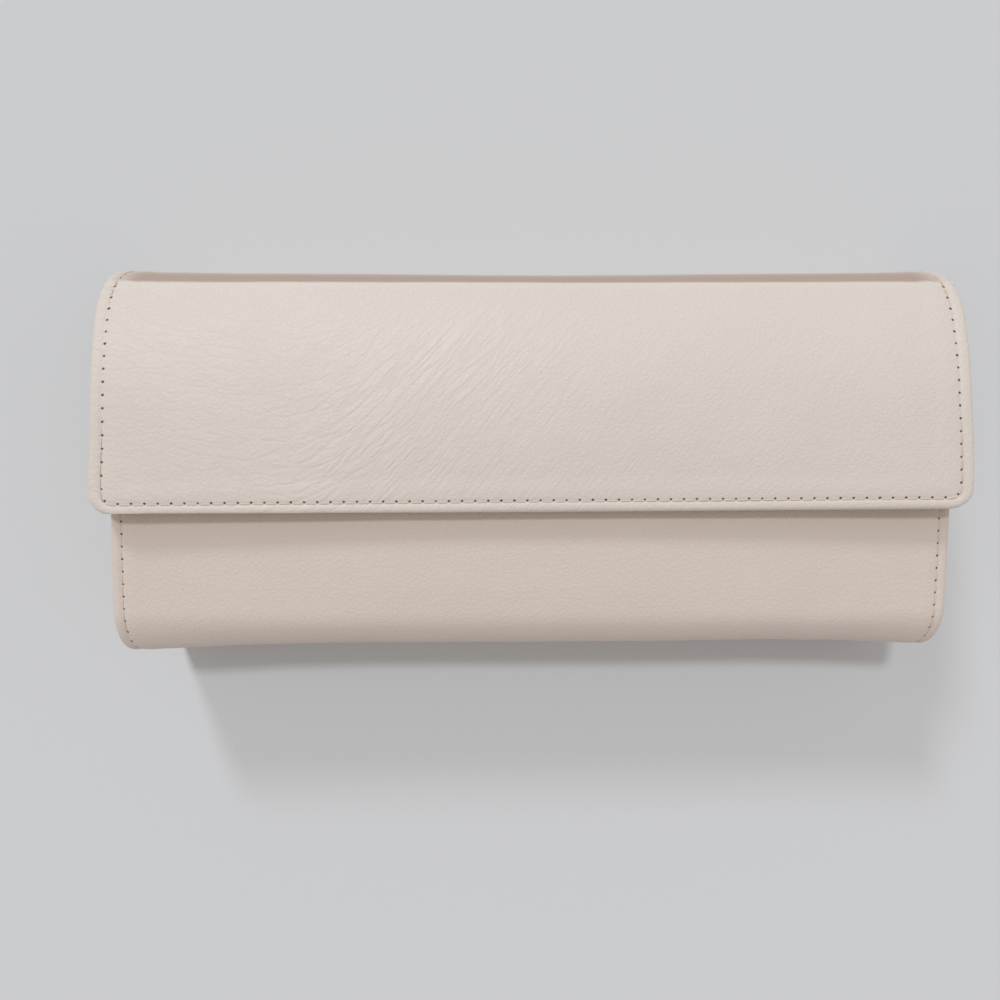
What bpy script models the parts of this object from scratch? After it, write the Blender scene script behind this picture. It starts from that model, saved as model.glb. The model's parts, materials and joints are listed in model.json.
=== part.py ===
"""Jewelry case in soft pebbled leather: a long clutch-shaped case with a fold-over flap.

The case lies on its back. X runs along its width, +Y points to the folded spine and
+Z comes out of the front. The origin is in the middle of the back face.
The section through the case is one line that runs round it with the inside on its left:
front panel, bottom, back, spine and flap. Every layer is an inset of that line.
"""

import math

import bmesh
import bpy
from mathutils import Matrix, Vector

# Driving sizes of the case
FLAP_WIDTH = 0.230
FRONT_SETBACK = 0.0025
CASE_HEIGHT = 0.107
CASE_DEPTH = 0.045
CLEARANCE = 0.0003
OVERRUN = 0.002
FRONT_WIDTH = FLAP_WIDTH - 2 * FRONT_SETBACK

# Section of the front panel and bottom
BACK_CORNER_RADIUS = 0.006
FRONT_ROLL_RADIUS = 0.012
FRONT_LIP_DROP = 0.0055
FRONT_TAPER = 0.0025
FRONT_LIP_HEIGHT = CASE_DEPTH - FRONT_LIP_DROP
FRONT_FOOT_HEIGHT = FRONT_LIP_HEIGHT - FRONT_TAPER
MOUTH_DROP = 0.0505
ARC_STEPS = 8

# Section of the spine and flap
SPINE_CORNER_RADIUS = 0.004
SPINE_ROLL_RISE = 0.016
CREASE_INSET = 0.0065
CREASE_FALL = 0.009
CREASE_HEIGHT = CASE_DEPTH - CREASE_FALL
SPINE_STRAIGHT_HEIGHT = CREASE_HEIGHT - SPINE_ROLL_RISE
FLAP_DROP = 0.0685
FLAP_LEVEL_LENGTH = 0.0086
FLAP_CURVE_POWER = 2.2
FLAP_STEPS = 12
FLAP_CORNER_RADIUS = 0.0065
CORNER_STEPS = 5

# Layers of the case body
CASE_LEATHER = 0.0014
BACK_BOARD = 0.002
PANEL_BOARD = 0.0012
CASE_LINING = 0.0007
GUSSET_LEATHER = 0.0012
GUSSET_FLANGE = 0.0057
GUSSET_SETBACK = 0.006
SIDE_BOARD = 0.0016
LID_CLEARANCE = 0.0008
WALL_SETBACK = 0.0047

# Layers of the spine and flap
SPINE_BOARD = 0.001
SPINE_LINING = 0.0007
SPINE_BOARD_MARGIN = 0.003
FLAP_LEATHER = 0.0012
FLAP_FOAM = 0.001
FLAP_BOARD = 0.0008
FLAP_LINING = 0.0007
FLAP_RIM = 0.003
CREASE_MARGIN = 0.004

# Tray behind the front panel
TRAY_FLOOR = 0.0012
TRAY_WALL = 0.0015
WALL_OVER_DIVIDERS = 0.004
DIVIDER_WALL = 0.0016
DIVIDER_SPACING = 0.029
RING_ROLL_COUNT = 3
RING_ROLL_SIDES = 16
RING_ROLL_SOFTNESS = 0.0025

# Magnetic closure
MAGNET_RADIUS = 0.004
MAGNET_SIDE_INSET = 0.045
MAGNET_INSET = 0.0091
ROUND_SIDES = 20

# Zipped pocket in the lining of the flap
ZIP_FROM_CREASE = 0.0308
ZIP_SIDE_INSET = 0.040
ZIP_LENGTH = FLAP_WIDTH - 2 * ZIP_SIDE_INSET
ZIP_TAPE_WIDTH = 0.0032
ZIP_TAPE = 0.0005
ZIP_CHAIN_WIDTH = 0.0018
ZIP_CHAIN_BASE = 0.0006
ZIP_TOOTH_RISE = 0.0006
ZIP_TOOTH_PITCH = 0.003
ZIP_TOOTH_SHARE = 0.55
ZIP_STOP_LENGTH = 0.002
SLIDER_LENGTH = 0.009
SLIDER_WIDTH = 0.0052
SLIDER_HEIGHT = 0.0023
BRIDGE_LENGTH = 0.0058
BRIDGE_WIDTH = 0.0016
BRIDGE_WALL = 0.0009
BRIDGE_OPENING = 0.0018
PULL_WIDTH = 0.005
PULL_GAP = 0.0022
PULL_THICKNESS = 0.0008
PULL_BAR = 0.0012

# Snap tabs that hold necklaces
TAB_COUNT = 3
TAB_SIDE_INSET = 0.045
TAB_FROM_CREASE = 0.0128
TAB_LENGTH = 0.011
TAB_WIDTH = 0.009
TAB_THICKNESS = 0.0012
SNAP_FROM_MIDDLE = 0.002
SNAP_RADIUS = 0.0034
SNAP_HEIGHT = 0.0014
STUD_RADIUS = 0.0014
STUD_HEIGHT = 0.0017
STUD_PLAY = 0.0008

# Stitching
STITCH_INSET = 0.003
STITCH_PITCH = 0.0034
THREAD_RADIUS = 0.0003
THREAD_LIFT = 0.00012
THREAD_WAVE = 0.00012
THREAD_TUCK = 0.0056

# Places that follow from the sizes
THREAD_PROUD = 2 * THREAD_RADIUS + THREAD_LIFT + THREAD_WAVE
BOTTOM_Y = (THREAD_PROUD - CASE_HEIGHT) / 2
TOP_Y = BOTTOM_Y + CASE_HEIGHT
MOUTH_Y = TOP_Y - MOUTH_DROP
CREASE_Y = TOP_Y - CREASE_INSET
LIP_Y = TOP_Y - FLAP_DROP
LEVEL_Y = LIP_Y + FLAP_LEVEL_LENGTH
WALL_TOP_Y = TOP_Y - WALL_SETBACK
FLAP_STACK = FLAP_LEATHER + FLAP_FOAM + FLAP_BOARD + FLAP_LINING + 3 * CLEARANCE
PANEL_STACK = CASE_LEATHER + PANEL_BOARD + CASE_LINING + 2 * CLEARANCE
WEB_X = FRONT_WIDTH / 2 - GUSSET_SETBACK
INSIDE_X = WEB_X - GUSSET_LEATHER - CLEARANCE
TRAY_X = INSIDE_X - SIDE_BOARD - CLEARANCE
BACK_BOARD_TOP = CASE_LEATHER + CLEARANCE + BACK_BOARD
FLOOR_TOP = BACK_BOARD_TOP + CLEARANCE + TRAY_FLOOR
TRAY_BASE = FLOOR_TOP + CLEARANCE
TRAY_TOP_Y = WALL_TOP_Y - TRAY_WALL
ROLLS_LENGTH = TRAY_TOP_Y - MOUTH_Y - (RING_ROLL_COUNT + 1) * CLEARANCE
RING_ROLL_ACROSS = ROLLS_LENGTH / RING_ROLL_COUNT
ZIP_Y = CREASE_Y - ZIP_FROM_CREASE
TAB_Y = CREASE_Y - TAB_FROM_CREASE
MAGNET_X = FLAP_WIDTH / 2 - MAGNET_SIDE_INSET
MAGNET_Y = LIP_Y + MAGNET_INSET

# Colours as linear red, green and blue shares, then roughness and metallic shares
LEATHER_SHARES = (0.60, 0.46, 0.42, 0.55, 0.0)
SUEDE_SHARES = (0.56, 0.44, 0.40, 0.90, 0.0)
CARD_SHARES = (0.38, 0.33, 0.27, 0.85, 0.0)
FOAM_SHARES = (0.70, 0.68, 0.62, 0.95, 0.0)
THREAD_SHARES = (0.57, 0.43, 0.39, 0.70, 0.0)
STEEL_SHARES = (0.56, 0.55, 0.53, 0.35, 1.0)
BRASS_SHARES = (0.80, 0.62, 0.38, 0.28, 1.0)
TAPE_SHARES = (0.50, 0.38, 0.35, 0.85, 0.0)


def clear_scene():
    for obj in list(bpy.data.objects):
        bpy.data.objects.remove(obj, do_unlink=True)


def new_collection(name):
    collection = bpy.data.collections.new(name)
    bpy.context.scene.collection.children.link(collection)
    return collection


def finish_of(name, shares):
    """A Principled material from its colour, roughness and metallic shares."""
    material = bpy.data.materials.new(name)
    material.use_nodes = True
    shader = material.node_tree.nodes["Principled BSDF"]
    red, green, blue, roughness, metallic = shares
    shader.inputs["Base Color"].default_value = (red, green, blue, 1.0)
    shader.inputs["Roughness"].default_value = roughness
    shader.inputs["Metallic"].default_value = metallic
    return material


def arc(centre, radius, first, last, steps=ARC_STEPS):
    """Section points on a circle, angles in degrees from +Y towards +Z."""
    points = []
    for step in range(steps + 1):
        angle = math.radians(first + (last - first) * step / steps)
        points.append((centre[0] + radius * math.cos(angle), centre[1] + radius * math.sin(angle)))
    return points


def inset(path, distance, first_lean=0.0, last_lean=0.0):
    """The path moved to its left. A lean turns an end face off square, in radians."""
    ways = []
    for (y0, z0), (y1, z1) in zip(path, path[1:]):
        ways.append(math.atan2(z1 - z0, y1 - y0))
    moved = []
    for index, (y, z) in enumerate(path):
        if index == 0:
            way, half_turn = ways[0] + first_lean, first_lean
        elif index == len(path) - 1:
            way, half_turn = ways[-1] + last_lean, last_lean
        else:
            turn = math.remainder(ways[index] - ways[index - 1], math.tau)
            way, half_turn = ways[index - 1] + turn / 2, turn / 2
        reach = distance / math.cos(half_turn)
        moved.append((y - reach * math.sin(way), z + reach * math.cos(way)))
    return moved


def layer(path, near, far, first_lean=0.0, last_lean=0.0):
    """The closed outline of the band between two insets of a path."""
    outer = inset(path, near, first_lean, last_lean)
    inner = inset(path, far, first_lean, last_lean)
    return outer + inner[::-1]


def front_path(first_y=None):
    """Front panel from its mouth down, round the bottom, to the start of the back."""
    centre = (BOTTOM_Y + FRONT_ROLL_RADIUS, FRONT_FOOT_HEIGHT - FRONT_ROLL_RADIUS)
    corner = (BOTTOM_Y + BACK_CORNER_RADIUS, BACK_CORNER_RADIUS)
    start = MOUTH_Y if first_y is None else first_y
    path = [(start, panel_height(start))]
    path += arc(centre, FRONT_ROLL_RADIUS, 90, 180)
    path += arc(corner, BACK_CORNER_RADIUS, 180, 270)
    return path


def panel_height(y):
    """Height of the front panel's outer face at a place between its roll and its mouth."""
    foot = BOTTOM_Y + FRONT_ROLL_RADIUS
    return FRONT_FOOT_HEIGHT + (FRONT_LIP_HEIGHT - FRONT_FOOT_HEIGHT) * (y - foot) / (MOUTH_Y - foot)


def arc_lean(degrees, steps=ARC_STEPS):
    """Half of the turn of one step of an arc, by which its end face leans to be radial."""
    return math.radians(degrees) / steps / 2


def back_path():
    """The flat back, with half of the corner where it turns into the spine."""
    centre = (TOP_Y - SPINE_CORNER_RADIUS, SPINE_CORNER_RADIUS)
    start = (BOTTOM_Y + BACK_CORNER_RADIUS + CLEARANCE, 0)
    half = math.degrees(CLEARANCE / SPINE_CORNER_RADIUS)
    return [start] + arc(centre, SPINE_CORNER_RADIUS, 270, 315 - half, ARC_STEPS // 2)


def spine_roll():
    """Radius and last angle of the spine's bend towards the crease."""
    rise = CREASE_HEIGHT - SPINE_STRAIGHT_HEIGHT
    radius = (rise * rise + CREASE_INSET * CREASE_INSET) / (2 * CREASE_INSET)
    return radius, math.asin(rise / radius)


def spine_path():
    """The spine from the middle of the back corner to the crease."""
    corner = (TOP_Y - SPINE_CORNER_RADIUS, SPINE_CORNER_RADIUS)
    radius, angle = spine_roll()
    trim = CLEARANCE / 2 / radius
    path = arc(corner, SPINE_CORNER_RADIUS, 315, 360, ARC_STEPS // 2)
    centre = (TOP_Y - radius, SPINE_STRAIGHT_HEIGHT)
    return path + arc(centre, radius, 0, math.degrees(angle - trim))


def flap_height(y):
    """Height of the flap's outer face."""
    if y <= LEVEL_Y:
        return CASE_DEPTH
    share = (y - LEVEL_Y) / (CREASE_Y - LEVEL_Y)
    return CASE_DEPTH - (CASE_DEPTH - CREASE_HEIGHT) * share**FLAP_CURVE_POWER


def flap_slope(y):
    """Angle of the flap's outer face against level, in radians."""
    if y <= LEVEL_Y:
        return 0.0
    share = (y - LEVEL_Y) / (CREASE_Y - LEVEL_Y)
    fall = (CASE_DEPTH - CREASE_HEIGHT) * FLAP_CURVE_POWER / (CREASE_Y - LEVEL_Y)
    return math.atan(fall * share ** (FLAP_CURVE_POWER - 1))


def flap_path(first_y, last_y):
    """The flap's outer face between two places, from the crease towards the lip."""
    path = []
    for step in range(FLAP_STEPS + 1):
        y = first_y + (LEVEL_Y - first_y) * step / FLAP_STEPS
        path.append((y, flap_height(y)))
    return path + [(last_y, CASE_DEPTH)]


def lid_underside(y):
    """Height that the sides of the case may reach below the closed flap."""
    return flap_height(y) - FLAP_STACK / math.cos(flap_slope(y)) - LID_CLEARANCE


def crease_lean():
    """Half of the turn at the crease, by which both end faces there lean."""
    spine_way = math.pi / 2 + spine_roll()[1]
    flap_way = math.pi - flap_slope(CREASE_Y)
    return (flap_way - spine_way) / 2


def as_object(name, bm, material, collection):
    mesh = bpy.data.meshes.new(name)
    bm.to_mesh(mesh)
    bm.free()
    mesh.materials.append(material)
    obj = bpy.data.objects.new(name, mesh)
    collection.objects.link(obj)
    return obj


def prism(name, outline, low_x, high_x, material, collection, round_y=None, radius=0.0):
    """A section outline extruded along the width. Its corners at round_y can be rounded."""
    bm = bmesh.new()
    face = bm.faces.new([bm.verts.new((low_x, y, z)) for y, z in outline])
    grown = bmesh.ops.extrude_face_region(bm, geom=[face])
    moved = [item for item in grown["geom"] if isinstance(item, bmesh.types.BMVert)]
    bmesh.ops.translate(bm, verts=moved, vec=(high_x - low_x, 0, 0))
    bmesh.ops.recalc_face_normals(bm, faces=bm.faces)
    if round_y is not None:
        corners = []
        for edge in bm.edges:
            ends = edge.verts
            at_end = all(abs(vert.co.y - round_y) < CLEARANCE for vert in ends)
            if at_end and abs(ends[0].co.x - ends[1].co.x) < CLEARANCE:
                corners.append(edge)
        bmesh.ops.bevel(bm, geom=corners, offset=radius, segments=CORNER_STEPS, profile=0.5,
                        affect="EDGES", clamp_overlap=True)
    return as_object(name, bm, material, collection)


def block(name, low, high, material, collection):
    """A box between two corners."""
    bm = bmesh.new()
    bmesh.ops.create_cube(bm, size=1.0)
    for vert in bm.verts:
        for axis in range(3):
            vert.co[axis] = low[axis] + (high[axis] - low[axis]) * (vert.co[axis] + 0.5)
    return as_object(name, bm, material, collection)


def disc(name, radius, depth, matrix, material, collection, sides=ROUND_SIDES):
    """A round piece whose axis is the matrix's Z and whose middle is its origin."""
    bm = bmesh.new()
    bmesh.ops.create_cone(bm, cap_ends=True, segments=sides, radius1=radius, radius2=radius,
                          depth=depth)
    obj = as_object(name, bm, material, collection)
    obj.matrix_world = matrix
    obj.data.shade_smooth()
    obj.data.set_sharp_from_angle(angle=math.radians(40))
    return obj


def boolean(obj, other, operation):
    modifier = obj.modifiers.new(other.name, "BOOLEAN")
    modifier.operation = operation
    modifier.solver = "EXACT"
    modifier.object = other
    other.hide_render = True
    other.display_type = "WIRE"


def flap_frame(x, y, depth):
    """A place in the flap: local X along the width, Y towards the lip, Z out of its lining."""
    slope = flap_slope(y)
    turn = Matrix.Rotation(math.pi - slope, 4, "X")
    across = depth * math.sin(slope)
    down = depth * math.cos(slope)
    return Matrix.Translation((x, y - across, flap_height(y) - down)) @ turn


def walk(path, spacing):
    """Evenly spaced places along a path, each with its outward direction."""
    lengths = [math.dist(a, b) for a, b in zip(path, path[1:])]
    count = round(sum(lengths) / spacing)
    places = []
    for number in range(count + 1):
        left = sum(lengths) * number / count
        index = 0
        while index < len(lengths) - 1 and left > lengths[index]:
            left -= lengths[index]
            index += 1
        (y0, z0), (y1, z1) = path[index], path[index + 1]
        share = left / lengths[index]
        way = math.atan2(z1 - z0, y1 - y0)
        out = (math.sin(way), -math.cos(way))
        places.append(((y0 + (y1 - y0) * share, z0 + (z1 - z0) * share), out))
    return places


def thread(name, points, material, collection):
    """A sewing thread along its stitches, as one tube with closed ends."""
    data = bpy.data.curves.new(name, "CURVE")
    data.dimensions = "3D"
    data.bevel_depth = THREAD_RADIUS
    data.bevel_resolution = 0
    data.use_fill_caps = True
    spline = data.splines.new("POLY")
    spline.points.add(len(points) - 1)
    for knot, point in zip(spline.points, points):
        knot.co = (*point, 1.0)
    data.materials.append(material)
    obj = bpy.data.objects.new(name, data)
    collection.objects.link(obj)
    return obj


def stitch_height(number):
    """Height of the thread's middle over the leather, higher at every other place."""
    return THREAD_RADIUS + THREAD_LIFT + THREAD_WAVE * (number % 2)


def pivot(name, place, collection, carrier=None):
    """An empty on a joint's axis, which carries what moves there."""
    empty = bpy.data.objects.new(name, None)
    empty.empty_display_size = STITCH_INSET
    collection.objects.link(empty)
    empty.location = place
    if carrier:
        hold(empty, carrier)
    return empty


def hold(obj, carrier):
    """Parents an object to an empty and leaves it where it is."""
    bpy.context.view_layer.update()
    obj.parent = carrier
    obj.matrix_parent_inverse = carrier.matrix_world.inverted()


def make_back(parts, leather, card):
    """Back panel of the case: the hide and the board in it."""
    lean = arc_lean(45, ARC_STEPS // 2)
    prism("back_leather", layer(back_path(), 0, CASE_LEATHER, 0.0, lean), -FLAP_WIDTH / 2,
          FLAP_WIDTH / 2, leather, parts)
    low = (-INSIDE_X, BOTTOM_Y + BACK_CORNER_RADIUS + CLEARANCE, CASE_LEATHER + CLEARANCE)
    block("back_board", low, (INSIDE_X, WALL_TOP_Y, BACK_BOARD_TOP), card, parts)


def make_front(parts, cutters, leather, suede, card, steel):
    """Front panel and bottom: hide, boards, lining and the plates that the magnets pull on."""
    prism("front_leather", layer(front_path(), 0, CASE_LEATHER, 0.0, arc_lean(90)),
          -FRONT_WIDTH / 2, FRONT_WIDTH / 2, leather, parts)
    near = CASE_LEATHER + CLEARANCE
    foot_y = BOTTOM_Y + FRONT_ROLL_RADIUS
    edge_y = MOUTH_Y - PANEL_BOARD
    panel = [(edge_y, panel_height(edge_y)), (foot_y, FRONT_FOOT_HEIGHT)]
    board = prism("front_board", layer(panel, near, near + PANEL_BOARD), -INSIDE_X, INSIDE_X,
                  card, parts)
    wall = [(BOTTOM_Y, FRONT_FOOT_HEIGHT - FRONT_ROLL_RADIUS), (BOTTOM_Y, BACK_CORNER_RADIUS)]
    prism("bottom_board", layer(wall, near, near + PANEL_BOARD), -INSIDE_X, INSIDE_X, card, parts)
    lined = front_path()[: -ARC_STEPS]
    prism("front_lining", layer(lined, PANEL_STACK - CASE_LINING, PANEL_STACK), -INSIDE_X,
          INSIDE_X, suede, parts)
    slope = math.atan2(FRONT_LIP_HEIGHT - FRONT_FOOT_HEIGHT, MOUTH_Y - foot_y)
    middle = panel_height(MAGNET_Y) - (near + PANEL_BOARD / 2) / math.cos(slope)
    for side, word in ((-1, "left"), (1, "right")):
        turn = Matrix.Rotation(slope, 4, "X")
        place = Matrix.Translation((side * MAGNET_X, MAGNET_Y, middle)) @ turn
        hole = disc(f"keeper_hole_{word}", MAGNET_RADIUS + CLEARANCE, PANEL_BOARD + OVERRUN,
                    place, card, cutters)
        boolean(board, hole, "DIFFERENCE")
        disc(f"keeper_plate_{word}", MAGNET_RADIUS, PANEL_BOARD, place, steel, parts)


def side_outline(distance):
    """Outline of a side of the case, set in from its outer line, and how much of it is sewn."""
    path = front_path() + [(WALL_TOP_Y, 0)]
    sewn = inset(path, distance)
    sewn[-1] = (WALL_TOP_Y, distance)
    sewn[0] = (MOUTH_Y, sewn[0][1])
    free = [(WALL_TOP_Y, SPINE_STRAIGHT_HEIGHT)]
    first_y = WALL_TOP_Y - CREASE_INSET
    for step in range(FLAP_STEPS + 1):
        y = first_y + (MOUTH_Y - first_y) * step / (FLAP_STEPS + 1)
        free.append((y, min(lid_underside(y), sewn[0][1])))
    return sewn + free, len(sewn)


def make_side(side, word, parts, leather, suede):
    """One end of the case: a leather gusset with sewn flanges, and the covered board in it."""
    bm = bmesh.new()
    outline, sewn_count = side_outline(CASE_LEATHER + CLEARANCE + GUSSET_LEATHER)
    verts = [bm.verts.new((side * WEB_X, y, z)) for y, z in outline]
    web = bm.faces.new(verts)
    sewn = [bm.edges.get(verts[i : i + 2]) for i in range(sewn_count - 1)]
    grown = bmesh.ops.extrude_edge_only(bm, edges=sewn)
    moved = [item for item in grown["geom"] if isinstance(item, bmesh.types.BMVert)]
    bmesh.ops.translate(bm, verts=moved, vec=(side * GUSSET_FLANGE, 0, 0))
    bmesh.ops.recalc_face_normals(bm, faces=bm.faces)
    bm.normal_update()
    if web.normal.x * side < 0:
        bmesh.ops.reverse_faces(bm, faces=bm.faces)
    gusset = as_object(f"gusset_{word}", bm, leather, parts)
    wall = gusset.modifiers.new("leather", "SOLIDIFY")
    wall.thickness = GUSSET_LEATHER
    wall.offset = -1.0
    wall.use_even_offset = True
    wall.use_quality_normals = True
    outline, _ = side_outline(PANEL_STACK + CLEARANCE)
    ends = sorted((side * INSIDE_X, side * (INSIDE_X - SIDE_BOARD)))
    prism(f"side_board_{word}", outline, ends[0], ends[1], suede, parts)


def make_tray(parts, suede):
    """Floor, walls and dividers of the tray, and the padded rolls that hold rings."""
    inner_y = BOTTOM_Y + PANEL_STACK + CLEARANCE
    block("tray_floor", (-TRAY_X, inner_y, BACK_BOARD_TOP + CLEARANCE),
          (TRAY_X, WALL_TOP_Y, FLOOR_TOP), suede, parts)
    block("tray_wall_top", (-TRAY_X, TRAY_TOP_Y, TRAY_BASE),
          (TRAY_X, WALL_TOP_Y, SPINE_STRAIGHT_HEIGHT + WALL_OVER_DIVIDERS), suede, parts)
    block("pocket_wall", (-TRAY_X, MOUTH_Y - TRAY_WALL, TRAY_BASE),
          (TRAY_X, MOUTH_Y, SPINE_STRAIGHT_HEIGHT), suede, parts)
    low_y = MOUTH_Y + CLEARANCE
    high_y = TRAY_TOP_Y - CLEARANCE
    for number, word in ((-1, "ring"), (0, "middle"), (1, "bracelet")):
        x = number * DIVIDER_SPACING
        block(f"divider_{word}", (x - DIVIDER_WALL / 2, low_y, TRAY_BASE),
              (x + DIVIDER_WALL / 2, high_y, SPINE_STRAIGHT_HEIGHT), suede, parts)
    across = RING_ROLL_ACROSS
    high_x = -DIVIDER_SPACING - DIVIDER_WALL / 2 - CLEARANCE
    for number in range(RING_ROLL_COUNT):
        y = MOUTH_Y + CLEARANCE + across / 2 + number * (across + CLEARANCE)
        place = Matrix.Translation(((high_x - TRAY_X) / 2, y, TRAY_BASE + across / 2))
        turn = Matrix.Rotation(math.pi / 2, 4, "Y")
        roll = disc(f"ring_roll_{number + 1}", across / 2, high_x + TRAY_X, place @ turn, suede,
                    parts, RING_ROLL_SIDES)
        ends = roll.modifiers.new("soft_ends", "BEVEL")
        ends.width = RING_ROLL_SOFTNESS
        ends.segments = 2
        ends.limit_method = "ANGLE"
        ends.angle_limit = math.radians(60)


def make_spine(parts, leather, suede, card, carrier):
    """The spine between the back and the flap."""
    near = CASE_LEATHER + CLEARANCE
    leans = (-arc_lean(45, ARC_STEPS // 2), crease_lean())
    skin = prism("spine_leather", layer(spine_path(), 0, CASE_LEATHER, *leans),
                 -FLAP_WIDTH / 2, FLAP_WIDTH / 2, leather, parts)
    low_z = SPINE_CORNER_RADIUS + CASE_LEATHER
    radius, angle = spine_roll()
    centre = (TOP_Y - radius, SPINE_STRAIGHT_HEIGHT)
    last = math.degrees(angle - SPINE_BOARD_MARGIN / radius)
    stiff = [(TOP_Y, low_z)] + arc(centre, radius, 0, last)
    board = prism("spine_board", layer(stiff, near, near + SPINE_BOARD), -INSIDE_X, INSIDE_X,
                  card, parts)
    far = near + SPINE_BOARD + CLEARANCE
    lining = prism("spine_lining", layer(stiff, far, far + SPINE_LINING), -INSIDE_X, INSIDE_X,
                   suede, parts)
    for piece in (skin, board, lining):
        hold(piece, carrier)


def flap_layer(name, near, far, margin, material, collection):
    """A layer inside the flap, set in from its edge, with rounded lower corners."""
    path = flap_path(CREASE_Y - CREASE_MARGIN, LIP_Y + margin)
    half = FLAP_WIDTH / 2 - margin
    return prism(name, layer(path, near, far), -half, half, material, collection,
                 LIP_Y + margin, FLAP_CORNER_RADIUS - margin)


def make_flap(parts, cutters, leather, suede, card, foam, steel, carrier):
    """The flap: its hide with turned-in edges, padding, board, lining and magnets."""
    lean = crease_lean()
    trim = CLEARANCE / 2 * math.cos(flap_slope(CREASE_Y))
    path = flap_path(CREASE_Y - trim, LIP_Y)
    skin = prism("flap_leather", layer(path, 0, FLAP_STACK, -lean, 0.0), -FLAP_WIDTH / 2,
                 FLAP_WIDTH / 2, leather, parts, LIP_Y, FLAP_CORNER_RADIUS)
    half = FLAP_WIDTH / 2 - FLAP_RIM
    hollow_path = flap_path(CREASE_Y + OVERRUN, LIP_Y + FLAP_RIM)
    hollow = prism("flap_hollow", layer(hollow_path, FLAP_LEATHER, FLAP_STACK + OVERRUN), -half,
                   half, leather, cutters, LIP_Y + FLAP_RIM, FLAP_CORNER_RADIUS - FLAP_RIM)
    boolean(skin, hollow, "DIFFERENCE")
    pieces = [skin, hollow]
    margin = FLAP_RIM + CLEARANCE
    near = FLAP_LEATHER + CLEARANCE
    pad = flap_layer("flap_foam", near, near + FLAP_FOAM, margin, foam, parts)
    near += FLAP_FOAM + CLEARANCE
    board = flap_layer("flap_board", near, near + FLAP_BOARD, margin, card, parts)
    lining = flap_layer("flap_lining", FLAP_STACK - FLAP_LINING, FLAP_STACK, margin, suede, parts)
    slot_width = 2 * ZIP_TAPE_WIDTH + ZIP_CHAIN_WIDTH + 4 * CLEARANCE
    slot_length = ZIP_LENGTH + 2 * CLEARANCE
    slot = block("zip_slot", (-slot_length / 2, -slot_width / 2, -FLAP_LINING),
                 (slot_length / 2, slot_width / 2, FLAP_LINING), suede, cutters)
    slot.matrix_world = flap_frame(0, ZIP_Y, FLAP_STACK - FLAP_LINING / 2)
    boolean(lining, slot, "DIFFERENCE")
    pieces += [pad, board, lining, slot]
    depth = FLAP_FOAM + CLEARANCE + FLAP_BOARD
    middle = FLAP_LEATHER + CLEARANCE + depth / 2
    for side, word in ((-1, "left"), (1, "right")):
        place = flap_frame(side * MAGNET_X, MAGNET_Y, middle)
        hole = disc(f"magnet_hole_{word}", MAGNET_RADIUS + CLEARANCE, depth + CLEARANCE, place,
                    card, cutters)
        boolean(pad, hole, "DIFFERENCE")
        boolean(board, hole, "DIFFERENCE")
        magnet = disc(f"flap_magnet_{word}", MAGNET_RADIUS, depth, place, steel, parts)
        pieces += [hole, magnet]
    for piece in pieces:
        hold(piece, carrier)


def chain_outline():
    """Side view of the closed zip's teeth, along its length and out of the lining."""
    count = round((ZIP_LENGTH - 2 * ZIP_STOP_LENGTH - 2 * CLEARANCE) / ZIP_TOOTH_PITCH)
    start = -count * ZIP_TOOTH_PITCH / 2
    top = ZIP_CHAIN_BASE + ZIP_TOOTH_RISE
    gap = ZIP_TOOTH_PITCH * (1 - ZIP_TOOTH_SHARE) / 2
    outline = [(start, 0), (-start, 0)]
    for number in reversed(range(count)):
        low = start + number * ZIP_TOOTH_PITCH
        high = low + ZIP_TOOTH_PITCH
        outline += [(high, ZIP_CHAIN_BASE), (high - gap, ZIP_CHAIN_BASE), (high - gap, top)]
        outline += [(low + gap, top), (low + gap, ZIP_CHAIN_BASE)]
    outline.append((start, ZIP_CHAIN_BASE))
    return outline


def upright(name, outline, width, material, collection):
    """An outline along X and Z, extruded to a width along Y about the origin."""
    bm = bmesh.new()
    face = bm.faces.new([bm.verts.new((x, -width / 2, z)) for x, z in outline])
    grown = bmesh.ops.extrude_face_region(bm, geom=[face])
    moved = [item for item in grown["geom"] if isinstance(item, bmesh.types.BMVert)]
    bmesh.ops.translate(bm, verts=moved, vec=(0, width, 0))
    bmesh.ops.recalc_face_normals(bm, faces=bm.faces)
    return as_object(name, bm, material, collection)


def make_zip(parts, cutters, tape, brass, carrier):
    """The zip of the flap's pocket, with its slider and pull at the left end."""
    face = FLAP_STACK - FLAP_LINING
    half = ZIP_LENGTH / 2
    pieces = []
    for side, word in ((-1, "upper"), (1, "lower")):
        ends = sorted((side * (ZIP_CHAIN_WIDTH / 2 + CLEARANCE),
                       side * (ZIP_CHAIN_WIDTH / 2 + CLEARANCE + ZIP_TAPE_WIDTH)))
        pieces.append(block(f"zip_tape_{word}", (-half, ends[0], 0), (half, ends[1], ZIP_TAPE),
                            tape, parts))
    pieces.append(upright("zip_teeth", chain_outline(), ZIP_CHAIN_WIDTH, brass, parts))
    rise = ZIP_CHAIN_BASE + ZIP_TOOTH_RISE
    for side, word in ((-1, "left"), (1, "right")):
        ends = sorted((side * half, side * (half - ZIP_STOP_LENGTH)))
        pieces.append(block(f"zip_stop_{word}", (ends[0], -ZIP_CHAIN_WIDTH / 2, 0),
                            (ends[1], ZIP_CHAIN_WIDTH / 2, rise), brass, parts))
    for piece in pieces:
        piece.matrix_world = flap_frame(0, ZIP_Y, face)
        hold(piece, carrier)
    rest_x = -half + ZIP_STOP_LENGTH + CLEARANCE + SLIDER_LENGTH / 2
    make_slider(parts, cutters, brass, rest_x, face, carrier)


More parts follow.
